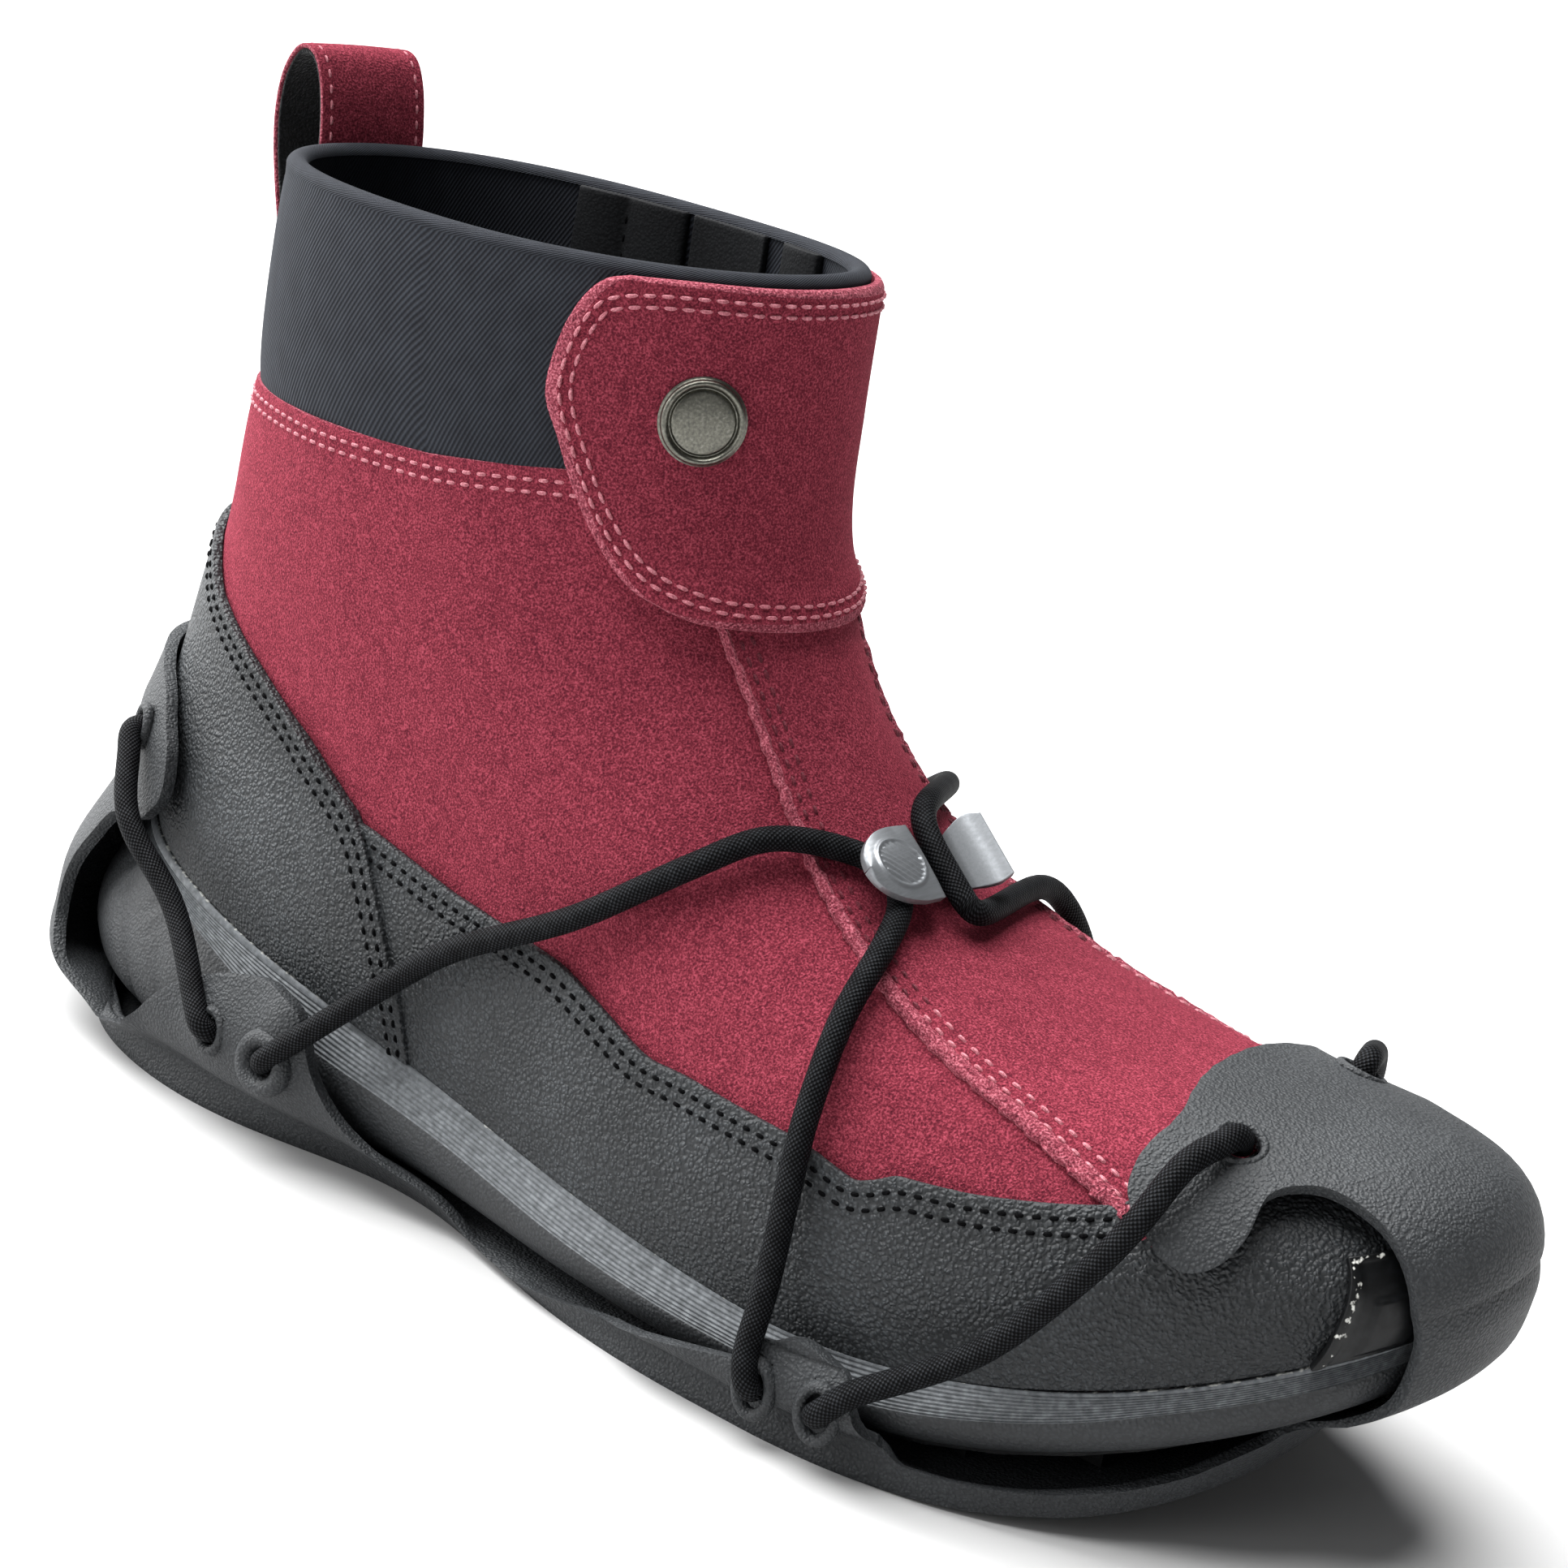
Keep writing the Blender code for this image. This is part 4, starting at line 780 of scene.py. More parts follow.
@dataclass(frozen=True)
class Seam:
    """A row of stitches: each is a short thread that bows out of the leather and dips in at both ends."""

    pitch: float = 3.1
    length: float = 2.35
    thick: float = 0.72
    bow: tuple = (0.16, 0.6)      # how far its middle stands out and its ends dip in, in thicknesses
    taper: float = 0.75
    sides: int = 6
    rings: int = 6

    def row(self, path: Array, normal: Array) -> Shape:
        """Stitches along a path: a tapered tube on a parabola, carried to each place by the path's own axes.

        Args:
            path: points on the leather.
            normal: outward normals there.
        Returns:
            All the stitches as one shape.
        """
        path, normal = spaced(path, self.pitch, normal)
        middle, ahead = (path[1:] + path[:-1]) / 2, unit(np.diff(path, axis=0))
        up = unit(normal[1:] + normal[:-1])
        side = np.cross(up, ahead)
        u, around = np.linspace(-1, 1, self.rings), circle(self.sides)
        thick = self.thick / 2 * (1 - self.taper * u ** 4)
        along = u[:, None] * self.length / 2 + 0 * around
        across = thick[:, None] * np.cos(around)
        above = thick[:, None] * np.sin(around) + self.thick * (self.bow[0] - self.bow[1] * u[:, None] ** 2)
        bodies = (middle[:, None, None] + along[..., None] * ahead[:, None, None]
                  + across[..., None] * side[:, None, None] + above[..., None] * up[:, None, None])
        return tubes(bodies, flip=True)

    def on_last(self, level: Array, turn: Array, offsets: Sequence[float],
                face: Callable = hide) -> list[Shape]:
        """Rows beside an edge on the last.

        Args:
            level: ring numbers along the edge.
            turn: half turns along it.
            offsets: millimetres to the left of the edge, for each row.
            face: gives the surface they are sewn into, at rings and half turns.
        Returns:
            The rows.
        """
        beside = [LAST.beside(level, turn, offset) for offset in offsets]
        return [self.row(face(*places), LAST.normal(*places)) for places in beside]


def patch(bottom: Array, top: Array, left: Array, right: Array, rows: Array, columns: Array) -> Array:
    """A Coons patch: four edges in ring and half turns, blended linearly both ways.

    Args:
        bottom: edge from left to right.
        top: edge from left to right.
        left: edge from bottom to top.
        right: edge from bottom to top.
        rows: shares of the height, from 0 to 1.
        columns: shares of the width, from 0 to 1.
    Returns:
        Ring and half turns at each point of the grid.
    """
    low, high = by_length(bottom, columns), by_length(top, columns)
    start, end = by_length(left, rows), by_length(right, rows)
    u, v = columns[None, :, None], rows[:, None, None]
    ruled = (1 - v) * low[None] + v * high[None] + (1 - u) * start[:, None] + u * end[:, None]
    corners = ((1 - u) * (1 - v) * low[0] + u * (1 - v) * low[-1] + (1 - u) * v * high[0] + u * v * high[-1])
    return ruled - corners


def by_length(edge: Array, at: Array) -> Array:
    """A smooth curve through an edge's points.

    Args:
        edge: rows of ring and half turns.
        at: shares of the edge's length.
    Returns:
        Rows of ring and half turns.
    """
    fine = through(edge, np.linspace(0, len(edge) - 1, 30 * len(edge)))
    run = lengths(fine * EDGE_UNITS)
    return np.stack([np.interp(at * run[-1], run, fine[:, k]) for k in range(2)], axis=1)


@dataclass
class Upper:
    """Suede quarters, and the vamp panel that is sewn over them."""

    wall: float = 2.2
    panel: float = 1.45        # height of the vamp's face over the quarters
    rows: int = 84
    columns: int = 240
    edge: Array = tabled(
        (1.0, 0.709), (2.4, 0.710), (3.1, 0.711), (3.6, 0.719), (4.2, 0.742), (4.7, 0.775), (5.1, 0.797),
        (5.5, 0.817), (5.9, 0.833), (6.3, 0.836), (6.7, 0.822), (6.78, 0.818))
    vamp_grid: tuple = (150, 92)
    vamp_foot: tuple = (1.0, 2.2)      # rings between which the vamp thins out under the rand
    wavy: float = 0.0026       # half turns that the hand-cut edge strays
    border: float = 0.036      # share of the vamp's width that is its raw edge
    ridge: tuple = (0.75, 0.3)      # how far the border's middle stands up and its outside falls
    fibre: float = 0.3
    seam: Seam = Seam()

    def build(self) -> None:
        """Makes the quarters, the vamp and their stitching."""
        turn = np.linspace(0, 2, self.columns, endpoint=False)
        level = np.linspace(0, 1, self.rows)[:, None] * collar_line(turn)
        shell = wall_grid(hide(level, turn), LAST.skin(level, turn, -self.wall), wrap=True, rim_slot=1,
                          back_slot=2)
        make("suede_quarters", shell, (SUEDE, SUEDE_EDGE, FELT), replaces=("upper",), edge=0.5)
        self.vamp()
        self.stitches()

    def side(self, level: Array) -> Array:
        """Half turns of the vamp's outer edge at rings."""
        return eased(level, self.edge, 1, 0.3)

    def vamp(self) -> None:
        """The vamp panel: rings from under the rand to under the flap, from one edge round to the other."""
        level = np.linspace(self.edge[0, 0], self.edge[-1, 0], self.vamp_grid[0])
        start = self.side(level) + self.wavy * np.sin(level * 47.0) * np.sin(level * 12.7 + 1.0)
        u = spread(self.vamp_grid[1], self.border)
        turn = 1 + (2 * u - 1) * (1 - start[:, None])
        ring = level[:, None] + 0 * u
        near = np.clip(np.minimum(u, 1 - u) / self.border, 0, 1)
        rise = (self.ridge[0] * np.sin(PI * near) - self.ridge[1] * (1 - near) ** 2
                + self.fibre * fuzz(ring, turn, near))
        fade = np.interp(ring, self.vamp_foot, (0.2, 1.0))
        face = hide(ring, turn, (self.panel + rise) * fade)
        border = np.tile((near[:-1] < RAW_SHARE) | (near[1:] < RAW_SHARE), len(level) - 1)
        shape = wall_grid(face, hide(ring, turn, 0.05), rim_slot=1, border=border)
        make("vamp_panel", shape, (SUEDE, SUEDE_EDGE))

    def stitches(self) -> None:
        """Double rows inside the vamp's edges, pink below and red above, and below the collar's line."""
        face = partial(hide, out=self.panel)
        for name, low, high, thread in (("vamp_stitches_lower", 1.9, 4.0, PINK_THREAD),
                                        ("vamp_stitches_upper", 4.0, 6.6, RED_THREAD)):
            ring = np.linspace(low, high, 80)
            outer = self.side(ring)
            rows = self.seam.on_last(ring, outer, (-2.9, -5.0), face)
            rows += self.seam.on_last(ring, 2 - outer, (2.9, 5.0), face)
            make(name, joined(rows), (thread,))
        turn = np.linspace(0.02, 1.98, 300)
        rows = self.seam.on_last(collar_line(turn), turn, (-2.4, -4.6))
        make("collar_line_stitches", joined(rows), (PINK_THREAD,))


@dataclass
class Collar:
    """Foam-backed knit round the leg, rolled over at the rim, with leather facings beside the zip inside."""

    wall: float = 3.0
    roll: float = 2.1
    puff: float = 1.0               # how far the foam bulges
    tuck: tuple = (0.05, 0.75)      # rings that it goes under the suede's edge, and how far in
    rim_drop: float = 0.085         # rings from the last's top to the start of the roll
    row_uv: float = 0.8             # millimetres that a row of the grid counts for in the UV map
    facings: tuple = ((1.285, 1.362, 1), (1.395, 1.497, 0), (1.503, 1.632, 2))      # from, to, padded lobes
    facing_rings: tuple = (7.55, 8.93)
    facing_seam: Seam = Seam(3.4, 2.5, 0.6)

    def build(self) -> None:
        """Makes the knit and the facings."""
        self.knit()
        self.linings()

    def knit(self) -> None:
        """The knit: a profile up the outside, half a circle over the rim and down the inside."""
        turn = np.linspace(0, 2, 260, endpoint=False)
        line = collar_line(turn) - self.tuck[0]
        top = RIM - self.rim_drop
        up = np.linspace(0, 1, 26)[:, None]
        ring = line + (top - line) * up
        puff = self.puff * np.sin(PI * np.clip(up * 1.05, 0, 1)) ** 0.7 - self.tuck[1] * (1 - up) ** 6
        outside = LAST.skin(ring, turn, puff)
        centre, normal = LAST.skin(top, turn, -self.roll + 0.1), LAST.normal(top, turn)
        rise = unit(LAST.point(RIM, turn) - LAST.point(top - 0.2, turn))
        angle = np.linspace(0.25, PI - 0.1, 14)[:, None, None]
        over = centre + self.roll * (np.cos(angle) * normal + np.sin(angle) * rise)
        inside = LAST.skin(ring[::-1], turn, -self.wall - 0.7 * (1 - up) ** 4)
        rings = np.concatenate((outside, over, inside))
        shape = ring_body(rings.transpose(1, 0, 2)[:, ::-1])
        shape.uv = corner_uv(np.append(turn, 2.0) * LEG_TURN, np.arange(len(rings) + 1) * self.row_uv)
        make("knit_collar", shape, (KNIT,), replaces=("collar",))

    def linings(self) -> None:
        """The facings inside the collar: strips padded in lobes, and the stitches between the lobes."""
        level = np.linspace(*self.facing_rings, 30)[:, None]
        seam_at = np.linspace(self.facing_rings[0] + 0.1, self.facing_rings[1] - 0.11, 60)
        rows = []
        for number, (start, end, lobes) in enumerate(self.facings, 1):
            share = np.linspace(0, 1, 40)
            place = np.linspace(start, end, 40)
            pad = 0.5 + 1.2 * np.abs(np.sin(lobes * PI * share)) ** 0.6
            face = LAST.skin(level, place, -self.wall - 1.4 - pad)
            back = LAST.skin(level, place, -self.wall - 0.35)
            make(f"zip_facing_{number}", wall_grid(back, face), (LINING,), edge=0.4)
            for at in np.linspace(start + 0.006, end - 0.006, lobes + 1) if lobes else ():
                rows.append(self.facing_seam.row(LAST.skin(seam_at, at, -self.wall - 2.0),
                                                 -LAST.normal(seam_at, at)))
        make("zip_facing_stitches", joined(rows), (DARK_THREAD,))


@dataclass
class Flap:
    """The ankle flap that closes over the front, with its plain round badge."""

    stand: float = 0.6
    wall: float = 2.0
    left: Array = tabled(
        (6.73, 0.765), (6.84, 0.725), (7.08, 0.696), (7.42, 0.671), (7.73, 0.654), (7.97, 0.640), (8.2, 0.642),
        (8.5, 0.654), (8.72, 0.670), (8.86, 0.690), (8.91, 0.715))
    bottom: Array = tabled(
        (6.73, 0.765), (6.69, 0.80), (6.69, 0.87), (6.70, 1.0), (6.72, 1.15), (6.75, 1.30))
    top: Array = tabled(
        (8.91, 0.715), (8.92, 0.78), (8.92, 0.87), (8.92, 1.0), (8.92, 1.15), (8.92, 1.30))
    badge_at: tuple = (8.0, 0.811)
    badge: float = 15.0
    border: tuple = (0.022, 0.036)      # share of width and height that is the raw, rolled edge
    fibre: float = 0.16
    lower_edge: tuple = (1.3, 6.7, 0.22)      # how far it stands off, at which ring, over how many
    seam: Seam = Seam()

    def away(self, level: Array) -> Array:
        """Height of the flap's back over the last: its stand, and a bell curve at its lower edge."""
        rise, ring, reach = self.lower_edge
        return self.stand + rise * np.exp(-((level - ring) / reach) ** 2)

    def face(self, level: Array, turn: Array) -> Array:
        """The flap's face, where stitches lie in it."""
        return hide(level, turn, self.wall + 0.2 + self.away(level))

    def build(self) -> None:
        """Makes the flap as a patch between its four edges, its double stitching and the badge."""
        right = np.array([self.bottom[-1], (7.8, 1.30), self.top[-1]])
        u, v = spread(130, self.border[0]), spread(90, self.border[1])
        level, turn = np.moveaxis(patch(self.bottom, self.top, self.left, right, v, u), -1, 0)
        near = np.minimum(np.clip(u / self.border[0], 0, 1),
                          np.clip(np.minimum(v, 1 - v) / self.border[1], 0, 1)[:, None])
        rise = self.wall * (1 - 0.45 * (1 - near) ** 2) + self.fibre * fuzz(level, turn, near)
        away = self.away(level)
        border = (np.minimum(near[:-1, :-1], near[1:, 1:]) < RAW_SHARE).ravel()
        shape = wall_grid(hide(level, turn, rise + away), hide(level, turn, away), rim_slot=1, border=border)
        make("ankle_flap_suede", shape, (SUEDE, SUEDE_EDGE), replaces=("ankle_flap",))
        edge = np.vstack((by_length(self.bottom, np.linspace(1, 0, 90))[:-3],
                          by_length(self.left, np.linspace(0.03, 0.97, 90)),
                          by_length(self.top, np.linspace(0, 1, 90))[3:]))
        rows = self.seam.on_last(*smoothed(edge, np.ones(13) / 13).T, (-2.5, -4.5), self.face)
        make("ankle_flap_stitches", joined(rows), (PINK_THREAD,))
        self.disc()

    def disc(self) -> None:
        """The badge: a turned profile, in radii and millimetres, with a rim, a groove and a low dome."""
        profile = np.array([(0.02, -0.1), (0.98, -0.1), (1.0, 0.35), (0.99, 1.1), (0.95, 1.5), (0.89, 1.55),
                            (0.84, 1.2), (0.81, 0.75), (0.77, 0.75), (0.72, 1.15), (0.5, 1.45), (0.25, 1.6),
                            (0.02, 1.65)])
        fine = through(profile, np.linspace(0, len(profile) - 1, 49))
        angle = circle(64)[:, None]
        normal = LAST.normal(*self.badge_at)
        base = hide(*self.badge_at, self.stand + self.wall + 0.05)
        side = unit(np.cross(normal, UPWARDS))
        around = np.cos(angle) * side + np.sin(angle) * np.cross(side, normal)
        rings = base + fine[:, None, :1] * self.badge / 2 * around + fine[:, None, 1:] * normal
        make("plain_badge", tubes(rings[None, :, ::-1]), (NICKEL,), replaces=("flap_badge",))


@dataclass
class PullLoop:
    """The pull loop sewn outside the collar's back: suede outside, felt inside, stitched along both edges."""

    width: float = 24.0
    at: tuple = (5.9, 8.5)      # the back seam on the collar's rim
    turned: float = 13.0        # degrees that the collar's back faces to the inner side
    crown: float = 0.3
    seam: Seam = Seam(3.0, 2.2, 0.6)
    line: Array = tabled(
        (6.3, 140.0), (6.5, 148.0), (8.4, 156.0), (11.2, 163.5), (13.8, 171.5), (15.6, 179.5), (16.0, 186.5),
        (14.6, 193.0), (11.0, 197.6), (7.0, 197.4), (4.4, 193.2), (3.0, 187.0), (2.4, 181.0), (2.7, 172.0),
        (3.2, 160.0), (4.6, 150.0), (5.9, 140.0))

    def strip(self, low: float, high: float, inset: float) -> tuple[Array, Array]:
        """Two grids along the loop's side-view line, at two distances outside it, crowned across.

        Args:
            low: distance of the first grid.
            high: distance of the second grid.
            inset: how much narrower than the strap they are on each side.
        Returns:
            Both grids of points.
        """
        path = through(self.line, np.linspace(0, len(self.line) - 1, 190))
        tangent = unit(np.gradient(path, axis=0))
        outward = np.stack((tangent[:, 1], -tangent[:, 0]), axis=1)
        across = np.linspace(-1, 1, 25)
        angle = math.radians(self.turned)
        away = np.array((-math.cos(angle), math.sin(angle)))
        side = np.array((math.sin(angle), math.cos(angle)))
        wave = 0.25 * np.sin(np.linspace(0, 11, 190))[:, None]
        grids = []
        for height in (low, high):
            crown = self.crown * (1 - across ** 2) * (height > 1.2)
            at = path[:, None] + (height + crown)[None, :, None] * outward[:, None]
            plan = (np.array(self.at) + at[..., :1] * away
                    + (across * (self.width / 2 - inset) + wave)[..., None] * side)
            grids.append(np.concatenate((plan, at[..., 1:]), axis=-1))
        return grids[0], grids[1]

    def build(self) -> None:
        """Makes both layers and the stitches along their edges."""
        inner, outer = self.strip(0.0, 0.85, 0.4)
        make("pull_loop_felt", wall_grid(outer[:, ::-1], inner[:, ::-1]), (FELT,), edge=0.3)
        inner, outer = self.strip(0.9, 1.8, 0.0)
        make("pull_loop_suede", wall_grid(outer[:, ::-1], inner[:, ::-1], rim_slot=1, back_slot=1),
             (SUEDE, SUEDE_EDGE), replaces=("pull_loop",), edge=0.3)
        inner, outer = inner[4:-4, (2, 22)], outer[4:-4, (2, 22)]
        rows = [self.seam.row(outer[:, k], unit(outer[:, k] - inner[:, k])) for k in (0, 1)]
        make("pull_loop_stitches", joined(rows), (PINK_THREAD,))


@dataclass
class Leathers:
    """Coated leather rand with its toe cap, and the heel counter sewn over its ends."""

    stand: float = 0.6
    wall: float = 1.2
    rand_end: float = 0.335
    rand_top: Array = tabled(
        (0.335, 3.0), (0.356, 3.02), (0.400, 2.90), (0.433, 2.93), (0.455, 2.92), (0.468, 2.62), (0.478, 2.32),
        (0.492, 2.40), (0.505, 2.35), (0.532, 2.27), (0.553, 2.04), (0.566, 2.12), (0.583, 2.25), (0.625, 2.27),
        (0.672, 2.34), (0.716, 2.42), (0.76, 2.62), (0.82, 2.86), (0.90, 3.06), (1.0, 3.21))
    counter_side: Array = tabled(
        (0.0, 0.380), (0.98, 0.373), (1.65, 0.361), (2.32, 0.353), (2.81, 0.350), (3.1, 0.344))
    counter_top: Array = tabled(
        (0.0, 5.27), (0.06, 5.2), (0.129, 5.02), (0.181, 4.58), (0.214, 4.43), (0.269, 4.14), (0.315, 3.75),
        (0.335, 3.35), (0.344, 3.1))
    tuck: float = 0.4                      # how far their backs go into the clearance
    counter_wall: float = 1.55
    strip: tuple = (6.0, 0.8, 0.7)         # width of the counter's raised front, its slope and its rise
    seam: Seam = Seam(2.9, 2.0, 0.8)

    def build(self) -> None:
        """Makes rand and counter, each a grid from the lip of the sole to its own top edge, and their seams."""
        turn = np.linspace(self.rand_end, 2 - self.rand_end, 420)
        foot, top = sole_lip(turn, 0.5), eased(mirrored(turn), self.rand_top, 1, 0.007)
        level = foot + (top - foot) * np.linspace(0, 1, 34)[:, None]
        face = partial(LAST.skin, out=self.stand + self.wall)
        shape = wall_grid(face(level, turn), LAST.skin(level, turn, self.stand - self.tuck))
        make("leather_rand", shape, (COATED,), replaces=("rand",), edge=0.4)
        rows = self.seam.on_last(top, turn, (-2.4, -4.9), face)
        make("rand_stitches", joined(rows), (DARK_THREAD,))
        self.counter()

    def edge_of(self, level: Array) -> Array:
        """Half turns of the counter's front edge at rings."""
        corner = self.counter_side[-1]
        return np.where(level < corner[0], eased(level, self.counter_side, 1, 0.3), corner[1])

    def face(self, level: Array, turn: Array) -> Array:
        """The counter's face: its wall, and a raised strip along its front edge.

        Args:
            level: ring numbers.
            turn: half turns from the back, negative on the inner side.
        Returns:
            Points of the face.
        """
        wide, slope, rise = self.strip
        inward = (self.edge_of(level) - np.abs(turn)) * LEG_TURN
        raised = rise * np.clip((wide - inward) / slope, 0, 1)
        return LAST.skin(level, turn, self.stand + self.counter_wall + raised)

    def counter(self) -> None:
        """The counter and its seams: columns spread to its front edge, rows rise to its top edge."""
        corner = self.counter_side[-1]
        u = np.linspace(-1, 1, 150)
        top = eased(np.abs(u) * corner[1], self.counter_top, 1, 0.012)
        guess = np.abs(u) * np.interp(1.0, self.counter_side[:, 0], self.counter_side[:, 1])
        foot = sole_lip(guess, 0.3)
        level = foot + (top - foot) * np.linspace(0, 1, 60)[:, None]
        turn = u * self.edge_of(level)
        shape = wall_grid(self.face(level, turn), LAST.skin(level, turn, self.stand - self.tuck))
        make("heel_counter_leather", shape, (COATED,), replaces=("heel_counter",),
             edge=0.45)
        grid = np.stack((level, turn), axis=-1)
        edge = np.vstack((grid[:, 0], grid[-1, 1:-1], grid[::-1, -1]))
        rows = self.seam.on_last(*smoothed(edge, np.ones(9) / 9).T, (-1.8, -4.4), self.face)
        make("counter_stitches", joined(rows), (DARK_THREAD,))


@dataclass
class Soles:
    """Midsole with its band of fine ribs, footbed and the bumper at the toe."""

    ribs: int = 9
    rib_depth: float = 0.24
    rib_top: float = 2.90
    arch: tuple = (7.0, 88.0, 30.0)      # lift, place, length
    creases: tuple = (16.0, 30.0)        # places of the two slanting creases at the heel
    crease: tuple = (0.9, 1.6, 0.55)     # their depth, half-width and slant
    lip: tuple = ((2.95, 0.0, 0.3), (2.98, 0.25, 0.8), (3.0, 0.8, 0.8))      # ring, tuck, wear
    wall: float = 2.2
    insole: float = 4.0
    cup: tuple = (70.0, 60.0, 2.0)       # where the heel cup starts, its length and how far its rim rises
    rib_foot: Array = tabled(
        (0.0, 2.80), (0.2, 2.75), (0.28, 2.62), (0.35, 2.3), (0.41, 2.2), (0.45, 2.1), (0.485, 1.65),
        (0.55, 1.65), (0.62, 2.05), (0.72, 2.45), (1.0, 2.6))
    bumper_half: tuple = (0.18, 0.152)      # half turns from its middle to its ends, at its foot and its top
    bumper_top: float = 1.9
    # strength of the pale specks along its border: painted glints and chipped wear
    bumper_out: tuple = (2.2, 3.4)          # its back and its face over the last
    bumper_glint_and_wear: float = 0.8
    emboss: tuple = (0.715, 0.34, 0.14)     # place of the square over width and height, and its half-width
    emboss_rise: tuple = (0.45, 0.6)        # of the border and of the square

    def build(self) -> None:
        """Makes the midsole, the footbed and the bumper."""
        self.midsole()
        self.footbed()
        self.bumper()

    def midsole(self) -> None:
        """The midsole: rings up to the ribs, ribs as a cosine of the height, lip, and back to the upper."""
        turn = np.linspace(0, 2, 420, endpoint=False)
        foot = eased(mirrored(turn), self.rib_foot, 1, 0.05)
        low = np.linspace(0, 1, 15)[:-1, None]
        wave = np.linspace(0, 1, 8 * self.ribs + 1)[:, None]
        level = np.concatenate((foot * low, foot + (self.rib_top - foot) * wave))
        grooves = self.rib_depth * (1 - np.cos(2 * PI * self.ribs * wave)) / 2
        dip = np.concatenate((0.35 * np.sin(PI * low) ** 2, grooves))
        at = SOLE.point(level, turn)
        depth, width, slope = self.crease
        slant = at[..., 0] + slope * at[..., 2]
        creases = sum(np.exp(-((slant - c) / width) ** 2) for c in self.creases)
        creases = creases * (level < foot) * (level > 0.4)
        rings = list(SOLE.skin(level, turn, -dip - depth * creases))
        lift, middle, reach = self.arch
        rings[0][:, 2] += lift * np.exp(-((rings[0][:, 0] - middle) / reach) ** 2)
        wear_and_glint = [0.0] * len(rings)
        for part, tuck, speck in self.lip:
            rings.append(SOLE.skin(part, turn, -tuck))
            wear_and_glint.append(speck)
        seat = sole_lip(turn, 1.0)
        for share in (1.0, 0.5, 0.0):
            rings.append(LAST.skin(seat * share, turn, 1.5 * GAP))
            wear_and_glint.append(0.4 * share)
        rings.append(LAST.skin(0.0, turn, -6.0))
        rings[-1][:, 2] = LAST.height(UPPER_RINGS[0], rings[-1][:, 0]) - GAP
        wear_and_glint.append(0.0)
        numbers = numbered((len(rings), len(turn)))
        half = len(turn) // 2
        faces = grid_faces(numbers, True)
        for ring, up in ((numbers[-1], 1), (numbers[0], -1)):
            strip = np.stack((ring[:half + 1], np.roll(ring[::-1], 1)[:half + 1]))
            faces += [list(dict.fromkeys(face))[::up] for face in grid_faces(strip, False)]
        faces = [face for face in faces if len(face) > 2]
        slots = np.zeros(len(faces), int)
        slots[(len(low) + 1) * len(turn):(len(level) + 1) * len(turn)] = 1
        shape = Shape(np.concatenate(rings), faces, slots, wear_and_glint=np.repeat(wear_and_glint, len(turn)))
        make("moulded_midsole", shape, (MIDSOLE, RIBBED), replaces=("midsole",))

    def footbed(self) -> None:
        """The footbed: strips from side to side of the feather edge, raised towards the rim."""
        station = np.linspace(0, 1, 120)
        w = np.linspace(0, 1, 24)[:, None, None]
        sides = []
        for turn in (station, 2 - station):
            edge = LAST.skin(0.0, turn, -self.wall - 0.6)
            edge[:, 2] = LAST.height(UPPER_RINGS[0], edge[:, 0])
            sides.append(edge)
        floor = sides[0] * (1 - w) + sides[1] * w
        start, reach, rise = self.cup
        cup = np.clip((start - floor[..., 0]) / reach, 0, 1) * rise * np.abs(2 * w[..., 0] - 1) ** 3
        upper = floor + np.stack((0 * cup, 0 * cup, self.insole + cup), axis=-1)
        faces = grid_faces(numbered(floor.shape), False)
        (floor, upper), faces = welded((floor.reshape(-1, 3), upper.reshape(-1, 3)), faces)
        make("felt_footbed", walled(upper, floor, faces), (FELT,), replaces=("insole",),
             edge=0.6)

    def bumper(self) -> None:
        """The toe bumper: a patch over the rand with a raised border and an embossed square on each side."""
        share = np.linspace(0, 1, 50)[:, None]
        u = np.linspace(-1, 1, 110)
        turn = 1 + u * (self.bumper_half[0] + (self.bumper_half[1] - self.bumper_half[0]) * share)
        foot = sole_lip(turn, -0.6)
        level = foot + (self.bumper_top - foot) * share
        x, y = np.abs(u) + 0 * share, share + 0 * u
        border = np.clip((np.maximum(x, y) - 0.93) / 0.03, 0, 1)
        wide, tall, size = self.emboss
        square = np.clip((size - np.maximum(np.abs(x - wide), 0.5 * np.abs(y - tall))) / 0.02, 0, 1)
        back, face = self.bumper_out
        face = face + self.emboss_rise[0] * border + self.emboss_rise[1] * square
        shape = wall_grid(LAST.skin(level, turn, face), LAST.skin(level, turn, back))
        # Pale specks along the raised border: painted glints, and chips of wear
        wear_and_glint = self.bumper_glint_and_wear * np.exp(-((np.maximum(x, y) - 0.97) / 0.04) ** 2)
        shape.wear_and_glint = np.concatenate((wear_and_glint.ravel(), 0 * wear_and_glint.ravel()))
        make("toe_bumper_rubber", shape, (BUMPER,), replaces=("toe_bumper",), edge=0.4)


